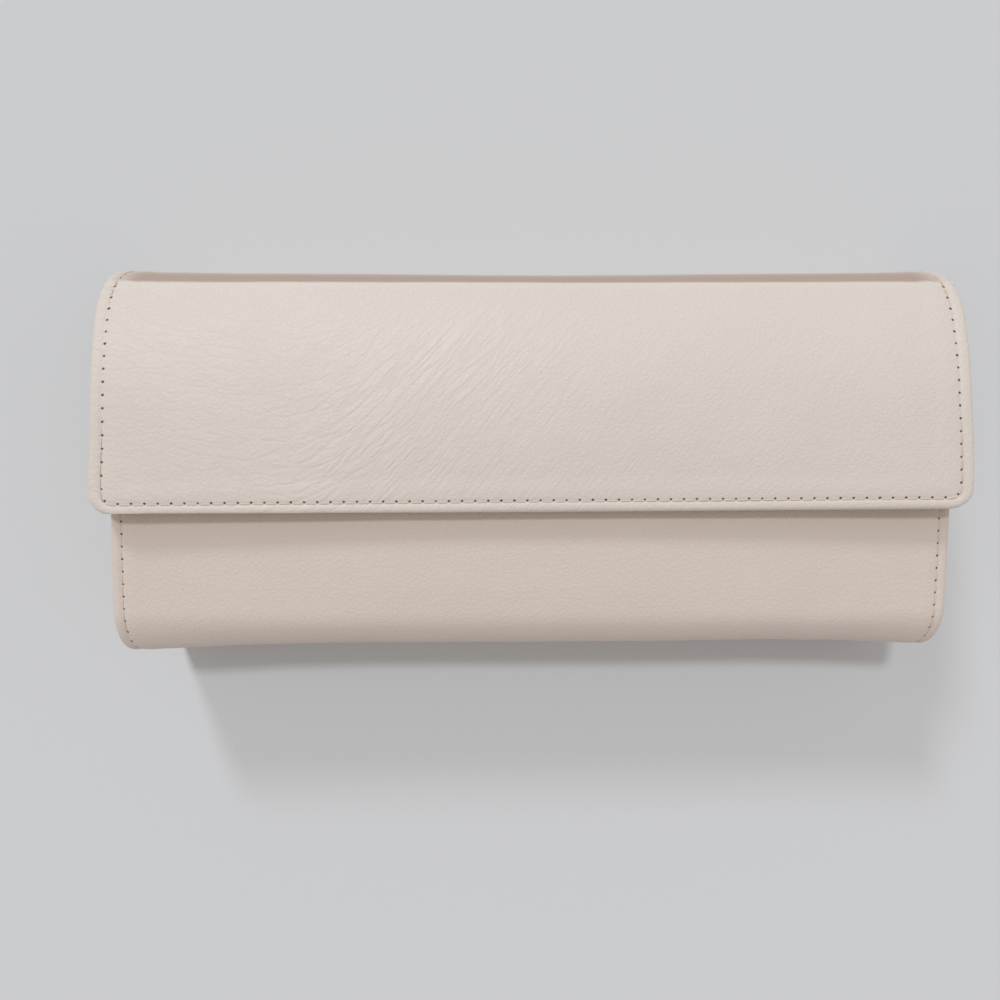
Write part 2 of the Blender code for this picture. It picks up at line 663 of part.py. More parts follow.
def make_slider(parts, cutters, brass, rest_x, face, carrier):
    """The slider rides over the teeth, and its pull hangs from the bridge."""
    low = ZIP_TAPE + CLEARANCE + CLEARANCE
    top = low + SLIDER_HEIGHT
    place = flap_frame(rest_x, ZIP_Y, face)
    body = block("zip_slider", (-SLIDER_LENGTH / 2, -SLIDER_WIDTH / 2, low),
                 (SLIDER_LENGTH / 2, SLIDER_WIDTH / 2, top), brass, parts)
    track = ZIP_CHAIN_BASE + ZIP_TOOTH_RISE + CLEARANCE
    side = ZIP_CHAIN_WIDTH / 2 + CLEARANCE
    groove = block("slider_groove", (-SLIDER_LENGTH / 2 - OVERRUN, -side, -OVERRUN),
                   (SLIDER_LENGTH / 2 + OVERRUN, side, track), brass, cutters)
    peak = top + BRIDGE_OPENING + BRIDGE_WALL
    outer = BRIDGE_LENGTH / 2
    inner = outer - BRIDGE_WALL
    sunk = top - BRIDGE_WALL
    arch = [(-outer, sunk), (-inner, sunk), (-inner, top + BRIDGE_OPENING)]
    arch += [(inner, top + BRIDGE_OPENING), (inner, sunk), (outer, sunk)]
    arch += [(outer, peak), (-outer, peak)]
    bridge = upright("slider_bridge", arch, BRIDGE_WIDTH, brass, cutters)
    for piece in (body, groove, bridge):
        piece.matrix_world = place
    boolean(body, groove, "DIFFERENCE")
    boolean(body, bridge, "UNION")
    runner = pivot("zip_travel", place.translation, parts, carrier)
    for piece in (body, groove, bridge):
        hold(piece, runner)
    make_pull(parts, cutters, brass, place, top + BRIDGE_OPENING / 2, runner)


def make_pull(parts, cutters, brass, place, depth, carrier):
    """The pull: a flat tag with a window that the bridge passes through."""
    low = depth - PULL_BAR / 2
    hinge_height = (place @ Vector((0, 0, depth))).z
    length = hinge_height - TRAY_BASE - RING_ROLL_ACROSS - PULL_GAP
    tag = block("zip_pull", (-PULL_THICKNESS / 2, -PULL_WIDTH / 2, low),
                (PULL_THICKNESS / 2, PULL_WIDTH / 2, depth + length), brass, parts)
    reach = math.hypot(BRIDGE_LENGTH / 2, BRIDGE_OPENING / 2 + BRIDGE_WALL) + 2 * CLEARANCE
    side = BRIDGE_WIDTH / 2 + CLEARANCE
    window = block("pull_window", (-PULL_THICKNESS, -side, depth + PULL_BAR / 2),
                   (PULL_THICKNESS, side, depth + reach), brass, cutters)
    tag.matrix_world = place
    window.matrix_world = place
    boolean(tag, window, "DIFFERENCE")
    swing = pivot("zip_pull_swing", place @ Vector((0, 0, depth)), parts, carrier)
    for piece in (tag, window):
        hold(piece, swing)


def make_tab(number, x, parts, cutters, leather, brass, carrier):
    """A snap tab on the flap's lining: strap, snap cap and the stud that it closes on."""
    place = flap_frame(x, TAB_Y, FLAP_STACK)
    top = CLEARANCE + TAB_THICKNESS
    strap = block(f"necklace_tab_{number}", (-TAB_WIDTH / 2, -TAB_LENGTH / 2, CLEARANCE),
                  (TAB_WIDTH / 2, TAB_LENGTH / 2, top), leather, parts)
    strap.matrix_world = place
    snap_place = place @ Matrix.Translation((0, SNAP_FROM_MIDDLE, 0))
    cap_place = snap_place @ Matrix.Translation((0, 0, top + CLEARANCE + SNAP_HEIGHT / 2))
    cap = disc(f"tab_snap_{number}", SNAP_RADIUS, SNAP_HEIGHT, cap_place, brass, parts)
    stud_place = snap_place @ Matrix.Translation((0, 0, CLEARANCE + STUD_HEIGHT / 2))
    stud = disc(f"tab_stud_{number}", STUD_RADIUS, STUD_HEIGHT, stud_place, brass, parts)
    hole = disc(f"tab_hole_{number}", STUD_RADIUS + STUD_PLAY, 2 * (STUD_HEIGHT + CLEARANCE),
                snap_place @ Matrix.Translation((0, 0, CLEARANCE)), brass, cutters)
    boolean(strap, hole, "DIFFERENCE")
    boolean(cap, hole, "DIFFERENCE")
    fold = pivot(f"tab_fold_{number}", place @ Vector((0, -TAB_LENGTH / 2, CLEARANCE)), parts,
                 carrier)
    for piece in (strap, cap, hole):
        hold(piece, fold)
    hold(stud, carrier)


def seam_on_flap():
    """Thread places round the flap: down one side, along the lip and up the other."""
    half = FLAP_WIDTH / 2 - STITCH_INSET
    low_y = LIP_Y + STITCH_INSET
    radius = FLAP_CORNER_RADIUS - STITCH_INSET
    plan = [(-half, CREASE_Y - CREASE_MARGIN)]
    plan += arc((radius - half, low_y + radius), radius, 180, 270)
    plan += arc((half - radius, low_y + radius), radius, 270, 360)
    plan.append((half, CREASE_Y - CREASE_MARGIN))
    points = []
    for number, ((x, y), _) in enumerate(walk(plan, STITCH_PITCH / 2)):
        slope = flap_slope(y)
        lift = stitch_height(number)
        points.append((x, y + lift * math.sin(slope), flap_height(y) + lift * math.cos(slope)))
    return points


def seam_on_front(x):
    """Thread places down the front panel and its bottom, tucked under the flap."""
    path = front_path(LIP_Y + THREAD_TUCK)[: -ARC_STEPS]
    points = []
    for number, ((y, z), (out_y, out_z)) in enumerate(walk(path, STITCH_PITCH / 2)):
        lift = stitch_height(number)
        points.append((x, y + out_y * lift, z + out_z * lift))
    return points


def main():
    clear_scene()
    parts = new_collection("jewelry_case")
    cutters = new_collection("cutters")
    leather = finish_of("pebbled_leather", LEATHER_SHARES)
    suede = finish_of("suede_lining", SUEDE_SHARES)
    card = finish_of("grey_board", CARD_SHARES)
    foam = finish_of("foam_padding", FOAM_SHARES)
    cotton = finish_of("sewing_thread", THREAD_SHARES)
    steel = finish_of("magnet_steel", STEEL_SHARES)
    brass = finish_of("pale_brass", BRASS_SHARES)
    tape = finish_of("zip_tape", TAPE_SHARES)
    make_back(parts, leather, card)
    make_front(parts, cutters, leather, suede, card, steel)
    for side, word in ((-1, "left"), (1, "right")):
        make_side(side, word, parts, leather, suede)
        seam_x = side * (FRONT_WIDTH / 2 - STITCH_INSET)
        thread(f"front_stitching_{word}", seam_on_front(seam_x), cotton, parts)
    make_tray(parts, suede)
    turn = math.sqrt(0.5)
    corner = TOP_Y - SPINE_CORNER_RADIUS
    spine_fold = pivot("spine_fold", (0, corner + SPINE_CORNER_RADIUS * turn,
                                      SPINE_CORNER_RADIUS * (1 - turn)), parts)
    make_spine(parts, leather, suede, card, spine_fold)
    flap_fold = pivot("flap_fold", (0, CREASE_Y, CREASE_HEIGHT), parts, spine_fold)
    make_flap(parts, cutters, leather, suede, card, foam, steel, flap_fold)
    hold(thread("flap_stitching", seam_on_flap(), cotton, parts), flap_fold)
    make_zip(parts, cutters, tape, brass, flap_fold)
    for number in range(TAB_COUNT):
        x = (FLAP_WIDTH / 2 - TAB_SIDE_INSET) * (2 * number / (TAB_COUNT - 1) - 1)
        make_tab(number + 1, x, parts, cutters, leather, brass, flap_fold)


main()
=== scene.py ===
"""Looks of a jewelry case in soft pebbled leather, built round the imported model.

Lengths are metres, in the model's frame: X along the case, +Y to the folded spine, +Z out of
the front. A hide is a grid bent along a section line. Kept on it as attributes are its place
on the uncut leather ("hide"), its place beside the stitch line ("seam") and its place along
and across the wrinkles ("creases").
"""

import json
import math

import bmesh
import bpy
import numpy as np
from mathutils import Matrix, Vector, noise


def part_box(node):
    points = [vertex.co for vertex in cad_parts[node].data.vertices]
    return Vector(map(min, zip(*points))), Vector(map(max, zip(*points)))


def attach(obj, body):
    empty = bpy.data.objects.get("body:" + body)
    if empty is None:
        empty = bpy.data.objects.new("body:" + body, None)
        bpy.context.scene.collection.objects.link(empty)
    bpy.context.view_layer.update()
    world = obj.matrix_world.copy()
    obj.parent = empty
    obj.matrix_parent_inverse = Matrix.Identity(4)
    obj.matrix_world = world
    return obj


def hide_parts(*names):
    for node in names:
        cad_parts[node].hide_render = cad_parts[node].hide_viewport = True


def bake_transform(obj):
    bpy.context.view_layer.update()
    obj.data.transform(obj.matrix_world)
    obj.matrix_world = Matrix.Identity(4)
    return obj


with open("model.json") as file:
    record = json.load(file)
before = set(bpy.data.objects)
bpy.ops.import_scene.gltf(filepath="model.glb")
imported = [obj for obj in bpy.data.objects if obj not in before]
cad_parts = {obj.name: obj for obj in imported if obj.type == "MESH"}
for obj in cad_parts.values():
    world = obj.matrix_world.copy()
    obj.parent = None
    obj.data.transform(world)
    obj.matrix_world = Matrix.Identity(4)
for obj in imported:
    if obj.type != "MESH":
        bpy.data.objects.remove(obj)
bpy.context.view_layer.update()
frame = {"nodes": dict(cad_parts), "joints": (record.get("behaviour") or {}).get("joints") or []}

bl_info = {
    "name": "Jewelry Case Looks",
    "version": (1, 0, 0),
    "blender": (4, 5, 0),
    "location": "3D View > Sidebar > Jewelry Case",
    "description": "Dresses the packed jewelry case in leather, suede, thread and brass",
    "category": "Object",
}

MM = 0.001
SIDES = ("left", "right")
HINGES = {joint["name"]: joint for joint in frame["joints"]}

# Places from the frame
FLAP_LOW, FLAP_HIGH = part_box("flap_leather")
FRONT_LOW, FRONT_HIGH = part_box("front_leather")
CREASE_Y, CREASE_Z = HINGES["flap_fold"]["pos_m"][1:]
CORNER_Y, CORNER_Z = HINGES["spine_fold"]["pos_m"][1:]
FLAP_HALF, DEPTH, LIP_Y = FLAP_HIGH.x, FLAP_HIGH.z, FLAP_LOW.y
FRONT_HALF, MOUTH_Y, MOUTH_Z = FRONT_HIGH
BOTTOM_Y = FRONT_LOW.y
TOP_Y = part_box("spine_leather")[1].y

# Shape of the section
FOOT_Z = 0.037
ROLL_RADIUS = 0.012
BOTTOM_CORNER = 0.006
SPINE_CORNER = 0.004
SPINE_STRAIGHT_Z = 0.020
SEAM_Z = 0.012
LEVEL_Y = LIP_Y + 0.0086
CURL_POWER = 2.2
SOFTEN = 0.0009
STEP = 0.00025
BACK_START_Y = BOTTOM_Y + 0.0063
BACK_TAPER = 0.009

# Thickness of the hides, and how it changes on both sides of the two folds
SKIN = 0.0012
CASE_SKIN = 0.0014
FLAP_THICK = 0.0046
SPINE_THICK = 0.0037
CREASE_THICK = 0.0032
CREASE_SHARE = 0.6
CREASE_REACH = 0.006
FLAP_START, FLAP_RUN = -0.001, 0.006
THICKEN_START, THICKEN_RUN = -0.004, 0.014
CORNER_RUN = 0.006

# Rims and seams. A gap of SNUG counts as none.
SNUG = 0.00001
RIM_WIDTH = 0.0028
RIM_ROUNDING = 0.0010
FRONT_ROUNDING = 0.8 * CASE_SKIN
TURNED_SHARE, FRONT_TURNED_SHARE = 0.45, 0.15
SPINE_MARGIN = 0.0089
CORNER_RADIUS = 0.0054
SIDE_SHARE = 0.84
GROOVE_DEPTH = 0.00020
GROOVE_WIDTH = 0.00040
PUFF = 0.00017
SWELL_PLACE, SWELL_WIDTH = 0.0058, 0.0022
PIPING_PLACE, PIPING_WIDTH, PIPING_SHARE = 0.0016, 0.0007, 0.6
STITCH_SINK = 0.00012
INNER_SINK = 0.00006
STITCH_REACH = 0.3
RIM_STATIONS = (0.0, 0.04, 0.14, 0.32, 0.6, 0.95, 1.4, 1.9, 2.35, 2.64, 2.8, 2.85, 3.1, 3.6, 4.3, 5.1)

# Soft forms: sags, bulges, and layers of waves as scale, seed and height
SPINE_SAG = 0.0009
SPINE_SAG_RUN = 0.006
SAG_STOP, SAG_FADE = 0.002, 0.006
LIP_SAG = 0.0008
LIP_SAG_START, LIP_SAG_RUN = -0.020, 0.018
LIP_DROP = 0.0006
LIP_LIFT = 0.0005
TILT_STRETCH, TILT_START = 1.4, 0.4
PANEL_BULGE = 0.0007
BULGE_START, BULGE_RUN = 0.009, 0.012
BULGE_STOP, BULGE_FADE = 0.012, 0.014
CROWN = 0.0006
CROWN_END = 0.75
CROWN_POWER = 1.5
PINCH_REACH = 0.011
PINCH_DEPTH = 0.00028
PLEATS_ACROSS, PLEATS_ALONG = 900.0, 3600.0
WAVE_FADE = 0.004
HIDE_WAVES = ((28.0, 3.0, 0.00016), (75.0, 8.0, 0.00007))
QUICK_WAVES = ((210.0, 5.0, 0.00003),)
FRONT_WAVES = ((26.0, 21.0, 0.00014), (80.0, 17.0, 0.00006))
LID_LINING_WAVES = ((40.0, 31.0, 0.00008),)
STRIP_WAVES = ((40.0, 31.0, 0.00006),)

# Wrinkles drawn across the flap: where they run, and how strong they are
WRINKLE_X = -0.054
WRINKLE_TURN = 0.009
WRINKLE_RISE = 1.35
WRINKLE_FALL = 0.20
DRAWN_X = -0.0345
DRAWN_DOWN = 0.0365
DRAWN_LEAN = 0.84
DRAWN_WIDTH = 0.021
FAINT, PLAIN, DRAWN, CALMED = 0.13, 0.44, 0.46, 0.22
CALM_START, CALM_RUN = -0.01, 0.04
WRINKLE_START, WRINKLE_RUN = 0.003, 0.016

# Linings and padding
LINING_HALF = 0.1126
LINING_SPINE_HALF = 0.1048
LINING_CORNER = 0.0036
LINING_RISE = 0.00025
LINING_THICK = 0.0005
FRONT_LINING_TOP = 0.0002
CORNER_LINING_RUN = 0.0075
BACK_BOARD = 0.002
PAD_THICK = 0.0011
PAD_GAP = 0.0003
PAD_SLACK = 0.0001
ROLL_TUCK = 0.0035
ROLL_FLAT = 0.0002
ROLL_LUMPS = 0.0002
ROLL_WAIST = 0.035
ROLL_SLACK = 0.985

# Zip and tabs
ZIP_MARGIN = 0.0003
ZIP_SEAM = 0.0014
ZIP_STITCH = 0.0024
TOOTH_SIZE = (0.0008, 0.0013, 0.0009)
TOOTH_BEVEL = 0.0002
TOOTH_PITCH = 0.001
TOOTH_SHIFT = 0.0003
TOOTH_LIFT = 0.0006
TAPE_DEPTH = FLAP_THICK - 0.0007
TAB_CORNER = 0.0022
TAB_SEAM = 0.0009
TAB_STITCH = 0.0016
THIN = 0.002

# Widths of a mesh's faces, across and along, and of the rounding on the copied nodes
FLAP_FACE = (0.0012, 0.0011)
BACK_FACE = (0.0018, 0.0012)
FRONT_FACE = (0.0013, 0.0012)
LINING_FACE = (0.0016, 0.0012)
STRIP_FACE = (0.004, 0.0008)
PAD_FACE = (0.003, 0.002)
GUSSET_BEVEL = 0.00035
TAPE_BEVEL = 0.0001
STOP_BEVEL = 0.0002
STUD_BEVEL = 0.0003
CAP_BEVEL = 0.0004
TRAY_BEVELS = {"side_board_left": 0.0006, "side_board_right": 0.0006, "tray_floor": 0.0003,
               "tray_wall_top": 0.0006, "pocket_wall": 0.0006, "divider_ring": 0.0007,
               "divider_middle": 0.0007, "divider_bracelet": 0.0007}

# Camera, and the lamps with how wide they look in degrees
HIGH_LAMP, HIGH_WIDTH = (-0.20, 0.56, 1.15), 6.5
LOW_LAMP, LOW_WIDTH = (-0.45, 1.24, 0.75), 10.0
FLOOR_SIZE = 60.0
FLOOR_GAP = 0.0004
CAMERA_PLACE = (-0.01115, -0.00695, 0.22626)
CAMERA_LENS = 25.2
CAMERA_TURNS = (("Y", -0.713), ("X", -1.384), ("Z", -0.179))

# Painted shade over the leather: darker along the fold, dark in the needle holes, deeper where the flap
# covers it
FOLD_SHADE_TINT = (0.61, 0.51, 0.465)
HOLE_SHADE_TINT = (0.150, 0.105, 0.085)
COVERED_SHADE_TINT = (0.985, 0.957, 0.932)
COVER_SHADE_REACH = 0.007
WHITE = (1.0, 1.0, 1.0, 1.0)

# How far the needle holes lie inside the seam line, in millimetres
HOLE_OFFSET = 0.26


def amount(name, description, default, **more):
    return bpy.props.FloatProperty(name=name, description=description, default=default, **more)


def length(name, description, default):
    return amount(name, description, default, unit="LENGTH", min=0.0, precision=5)


def colour(name, description, default):
    return bpy.props.FloatVectorProperty(name=name, description=description, subtype="COLOR",
                                         size=3, min=0.0, max=1.0, default=default)


class CaseLeather(bpy.types.PropertyGroup):
    flap: colour("Flap", "Colour of the flap, spine and back", (0.634, 0.568, 0.511))
    # Painted shade: the front's colour is the flap's leather made slightly darker and pinker, for the shade
    # the front panel lies in
    front: colour("Front", "Colour of the front panel and the ends", (0.627, 0.540, 0.483))
    cell: length("Pebble", "Width of a pebble of the grain", 0.0015)
    relief: length("Relief", "Height of the grain", 0.000086)
    roughness: amount("Roughness", "Roughness of the leather", 0.52, subtype="FACTOR", min=0.0, max=1.0)


class CaseStitch(bpy.types.PropertyGroup):
    thread: colour("Thread", "Colour of the sewing thread", (0.625, 0.525, 0.465))
    pitch: length("Pitch", "Length of a stitch", 0.0034)
    radius: length("Radius", "Radius of the thread", 0.00026)


class CaseLining(bpy.types.PropertyGroup):
    suede: colour("Suede", "Colour of the suede lining", (0.560, 0.455, 0.415))
    board: colour("Board", "Colour of the boards inside the hides", (0.380, 0.330, 0.270))
    foam: colour("Foam", "Colour of the padding", (0.700, 0.680, 0.620))


class CaseMetal(bpy.types.PropertyGroup):
    brass: colour("Brass", "Colour of the zip and the snaps", (0.800, 0.640, 0.430))
    steel: colour("Steel", "Colour of the magnets and plates", (0.560, 0.550, 0.530))
    tape: colour("Tape", "Colour of the zip tape", (0.560, 0.460, 0.410))


class CaseStage(bpy.types.PropertyGroup):
    floor: colour("Floor", "Colour of the floor", (0.600, 0.605, 0.615))
    lamp: amount("High Lamp", "Strength of the high lamp", 1.0)
    window: amount("Low Lamp", "Strength of the low lamp", 1.18)
    daylight: colour("Lamp Colour", "Colour of both lamps", (0.902, 0.963, 1.0))
    warmth: colour("Fill Colour", "Colour of the light from all round", (1.0, 0.95, 0.92))
    fill: amount("Fill", "Strength of the light from all round", 0.575)


class Value:
    """A shader value. Python's operators on it add Math nodes."""

    def __init__(self, graph, socket):
        self.graph = graph
        self.socket = socket

    def __add__(self, other):
        return self.graph.math("ADD", self, other)

    def __radd__(self, other):
        return self.graph.math("ADD", other, self)

    def __sub__(self, other):
        return self.graph.math("SUBTRACT", self, other)

    def __rsub__(self, other):
        return self.graph.math("SUBTRACT", other, self)

    def __mul__(self, other):
        return self.graph.math("MULTIPLY", self, other)

    def __rmul__(self, other):
        return self.graph.math("MULTIPLY", other, self)

    def __abs__(self):
        return self.graph.math("ABSOLUTE", self)

    def fraction(self):
        return self.graph.math("FRACT", self)

    def rise(self, low, high):
        """0 below low, 1 above high, smooth between."""
        node = self.graph.node("ShaderNodeMapRange", {"interpolation_type": "SMOOTHSTEP"},
                               {"Value": self, "From Min": low, "From Max": high})
        return Value(self.graph, node.outputs["Result"])


class Graph:
    """The nodes of a material or of the world, round its shader."""

    def __init__(self, owner, shader="Principled BSDF"):
        owner.use_nodes = True
        self.tree = owner.node_tree
        self.shader = self.tree.nodes[shader]

    def feed(self, socket, value):
        if isinstance(value, Value):
            value = value.socket
        if isinstance(value, bpy.types.NodeSocket):
            self.tree.links.new(value, socket)
        else:
            socket.default_value = value

    def fill(self, node, values):
        for name, value in values.items():
            self.feed(node.inputs[name], value)

    def node(self, kind, settings, values):
        """A node of a type, with its settings and then the values of its sockets."""
        made = self.tree.nodes.new(kind)
        for name, value in settings.items():
            setattr(made, name, value)
        self.fill(made, values)
        return made

    def math(self, operation, first, second=0.0):
        made = self.node("ShaderNodeMath", {"operation": operation}, {0: first, 1: second})
        return Value(self, made.outputs[0])

    def vector(self, operation, first, second, socket=1):
        made = self.node("ShaderNodeVectorMath", {"operation": operation}, {0: first, socket: second})
        return made.outputs[0]

    def mix(self, factor, first, second, kind="MIX"):
        """A colour between two colours, or their product."""
        made = self.node("ShaderNodeMix", {"data_type": "RGBA", "blend_type": kind},
                         {0: factor, 6: first, 7: second})
        return made.outputs[2]

    def lighten(self, tint, shade):
        """The colour times a value."""
        grey = self.node("ShaderNodeCombineXYZ", {}, {0: shade, 1: shade, 2: shade}).outputs[0]
        return self.mix(1.0, rgba(tint), grey, "MULTIPLY")

    def paint_shade(self, tone, mask, tint):
        """The colour, times a tint where the mask is 1, as painted shade."""
        return self.mix(1.0, tone, self.mix(mask, WHITE, rgba(tint)), "MULTIPLY")

    def attribute(self, name):
        return self.node("ShaderNodeAttribute", {"attribute_name": name}, {}).outputs["Vector"]

    def parts(self, vector):
        """The three numbers of a vector."""
        made = self.node("ShaderNodeSeparateXYZ", {}, {"Vector": vector})
        return [Value(self, made.outputs[axis]) for axis in range(3)]

    def turned(self, vector, degrees, stretch):
        """The vector turned about Z, then stretched along each axis."""
        turn = self.node("ShaderNodeVectorRotate", {"rotation_type": "Z_AXIS"},
                         {"Vector": vector, "Angle": math.radians(degrees)}).outputs[0]
        return self.vector("MULTIPLY", turn, stretch)

    def noise(self, place, scale, detail=2.0, roughness=0.5):
        made = self.node("ShaderNodeTexNoise", {},
                         {"Vector": place, "Scale": scale, "Detail": detail, "Roughness": roughness})
        return Value(self, made.outputs["Fac"])

    def wander(self, place, scale, reach):
        """The place shifted by a smooth noise."""
        made = self.node("ShaderNodeTexNoise", {}, {"Vector": place, "Scale": scale, "Detail": 1.0})
        centred = self.vector("ADD", made.outputs["Color"], (-0.5, -0.5, -0.5))
        return self.vector("ADD", place, self.vector("SCALE", centred, reach, "Scale"))

    def cells(self, place, scale, low, high, feature="DISTANCE_TO_EDGE"):
        """Cells that rise from 0 at a low distance, from their edge or centre, to 1 at a high one."""
        made = self.node("ShaderNodeTexVoronoi", {"feature": feature}, {"Vector": place, "Scale": scale})
        return Value(self, made.outputs["Distance"]).rise(low, high)

    def finish(self, tone, roughness, height, distance, constants=None):
        """Feeds the shader: colour, roughness and a bump of that height in metres."""
        bump = self.node("ShaderNodeBump", {}, {"Height": height, "Distance": distance})
        self.fill(self.shader, {"Base Color": tone, "Roughness": roughness, "Normal": bump.outputs[0],
                                **(constants or {})})


def rgba(tint):
    return (*tint, 1.0)


def new_graph(name):
    return Graph(bpy.data.materials.new(name))


def object_graph(name):
    """The nodes of a new material, and the place on the object."""
    graph = new_graph(name)
    return graph, graph.node("ShaderNodeTexCoord", {}, {}).outputs["Object"]


def leather_material(name, tint, settings, stitch, covered=None):
    """Pebbled leather, with creases drawn across it and a needle hole at each stitch's end.
    covered is the length down the hide that the flap hides."""
    graph = new_graph(name)
    place = graph.attribute("hide")
    phase, offset, strength = graph.parts(graph.attribute("seam"))
    wrinkles = graph.attribute("creases")
    soft = graph.wander(graph.wander(place, 300.0, 0.0010), 1000.0, 0.0005)
    pebble = graph.cells(soft, 1 / settings.cell, 0.0, 0.24)
    fine = graph.cells(soft, 1.8 / settings.cell, 0.0, 0.24)
    patches = graph.noise(place, 38.0)
    pulled = graph.wander(wrinkles, 160.0, 0.0022)
    long_cells = graph.vector("MULTIPLY", pulled, (0.26, 1.0, 0.0))
    short_cells = graph.vector("MULTIPLY", pulled, (0.46, 1.0, 0.0))
    furrow = graph.cells(long_cells, 0.44 / settings.cell, 0.0, 0.18)
    small = graph.cells(short_cells, 0.72 / settings.cell, 0.0, 0.26)
    pull = strength * (patches * 2.2 - 0.25).rise(0.15, 0.85)
    dust = graph.noise(place, 2400.0, 2.0, 0.6)
    grain = pebble * 0.42 + fine * 0.17 + dust * 0.20
    lines = furrow * 0.70 + small * 0.55
    relief = grain * (1 - pull * 0.4) + lines * pull
    swell = graph.noise(place, 130.0)
    hole_x = ((phase + 0.5).fraction() - 0.5) * (stitch.pitch / MM)
    hole_y = offset - HOLE_OFFSET
    uneven = (graph.noise(place, 420.0, 1.0) - 0.5) * 0.16
    hole = 1 - (hole_x * hole_x + hole_y * hole_y + uneven).rise(0.025, 0.145)
    height = relief + swell * 1.1 - hole * 3.0
    shade = 0.955 + relief * 0.035 + patches * 0.04
    side, down, _ = graph.parts(place)
    # Painted shade: the band of the spine by the fold is darkened as if shade falls on it
    fold = (1 - down.rise(-0.0009, 0.0004)) * down.rise(-0.016, -0.004)
    fold = fold * (1 - abs(side).rise(0.105, 0.1160))
    # Painted shade: tints darken the band by the fold and the needle holes, which are only dents in the bump
    tone = graph.paint_shade(graph.paint_shade(graph.lighten(tint, shade), fold, FOLD_SHADE_TINT), hole, HOLE_SHADE_TINT)
    if covered:
        # Painted shade: the front panel is deeper in colour where the flap covers it
        tone = graph.paint_shade(tone, 1 - down.rise(covered - 0.005, covered + 0.003), COVERED_SHADE_TINT)
    rough = settings.roughness + 0.12 - relief * 0.10
    graph.finish(tone, rough, height, settings.relief, {"Specular IOR Level": 0.42})


def suede_material(tint):
    """Short-napped lining, brushed this way and that."""
    graph, place = object_graph("suede")
    swept = graph.turned(graph.wander(place, 90.0, 0.004), 25.0, (1.0, 0.35, 1.0))
    nap = graph.noise(swept, 900.0, 4.0, 0.7)
    brushed = graph.noise(graph.wander(place, 40.0, 0.01), 60.0, 3.0)
    tone = graph.lighten(tint, 0.80 + nap * 0.22 + brushed * 0.20)
    graph.finish(tone, 0.86 + nap * 0.1, nap, 0.00012,
                 {"Sheen Weight": 0.35, "Sheen Roughness": 0.4, "Specular IOR Level": 0.2})


def thread_material(tint):
    graph, place = object_graph("twisted_thread")
    fibre = graph.noise(place, 4200.0)
    graph.finish(graph.lighten(tint, 0.86 + fibre * 0.2), 0.62 + fibre * 0.1, fibre, 0.00004)


def board_material(tint):
    graph, place = object_graph("board")
    fibre = graph.noise(place, 700.0, 5.0, 0.65)
    graph.finish(graph.lighten(tint, 0.85 + fibre * 0.3), 0.88, fibre, 0.00008)


def foam_material(tint):
    graph, place = object_graph("foam")
    pore = graph.cells(place, 2200.0, 0.1, 0.6, "F1")
    graph.finish(graph.lighten(tint, 0.88 + pore * 0.14), 0.95, pore, 0.0002)


def metal_material(name, tint, base):
    """Polished metal, rubbed in fine scratches."""
    graph, place = object_graph(name)
    rub = graph.noise(graph.turned(place, 12.0, (1.0, 0.06, 1.0)), 2600.0, 3.0)
    film = graph.noise(place, 240.0)
    tone = graph.lighten(tint, 0.92 + film * 0.12)
    graph.finish(tone, base + rub * 0.12 + film * 0.08, rub, 0.00001, {"Metallic": 1.0})


def tape_material(tint):
    """Herringbone tape."""
    graph, place = object_graph("herringbone_tape")
    x, y, _ = graph.parts(place)
    zigzag = abs((y * 700.0).fraction() - 0.5)
    rib = (x * 2600.0 + zigzag * 2.0).fraction() - 0.5
    weave = 1 - abs(rib) * 2.0
    graph.finish(graph.lighten(tint, 0.78 + weave * 0.28), 0.8, weave, 0.0001)


def deselect():
    if bpy.context.mode != "OBJECT":
        bpy.ops.object.mode_set(mode="OBJECT")
    bpy.ops.object.select_all(action="DESELECT")


def only(obj):
    """Makes this object the only one that an operator acts on."""
    deselect()
    obj.select_set(True)
    bpy.context.view_layer.objects.active = obj


def edit(obj, operator, **settings):
    """Runs an edit-mode operator on all of an object."""
    only(obj)
    bpy.ops.object.mode_set(mode="EDIT")
    bpy.ops.mesh.select_all(action="SELECT")
    operator(**settings)
    bpy.ops.object.mode_set(mode="OBJECT")


def smooth(degrees=50.0):
    """Smooths the selected object, up to an angle between two faces."""
    bpy.ops.object.shade_smooth_by_angle(angle=math.radians(degrees))


def tidy_shell(obj, merge=SNUG, degrees=50.0):
    """Merges doubles, turns all faces outwards and shades by angle."""
    edit(obj, bpy.ops.mesh.remove_doubles, threshold=merge)
    edit(obj, bpy.ops.mesh.normals_make_consistent, inside=False)
    smooth(degrees)


def soften(obj, width, segments, degrees):
    """Bevels the edges where two faces meet at more than an angle."""
    bevel = obj.modifiers.new("edges", "BEVEL")
    bevel.width = width
    bevel.segments = segments
    bevel.limit_method = "ANGLE"
    bevel.angle_limit = math.radians(degrees)
    only(obj)
    bpy.ops.object.modifier_apply(modifier=bevel.name)


def added(name, data):
    """A new object in the scene."""
    obj = bpy.data.objects.new(name, data)
    bpy.context.scene.collection.objects.link(obj)
    return obj


def discard(obj):
    bpy.data.objects.remove(obj, do_unlink=True)


def dress(obj, finish, body, *nodes):
    """Gives a piece its finish, the body that it moves with and the nodes it stands for."""
    paint(obj, finish)
    if body:
        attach(obj, body)
    if nodes:
        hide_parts(*nodes)
    return obj


def paint(obj, finish):
    obj.data.materials.clear()
    obj.data.materials.append(bpy.data.materials[finish])


def fold_at_crease(obj):
    """Bakes the transform of a piece by the fold between the spine and the flap into its mesh."""
    way = float(LID.way(CREASE))
    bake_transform(obj)


def fold_at_corner(obj):
    """Bakes the transform of a piece by the fold between the back and the spine into its mesh."""
    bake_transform(obj)


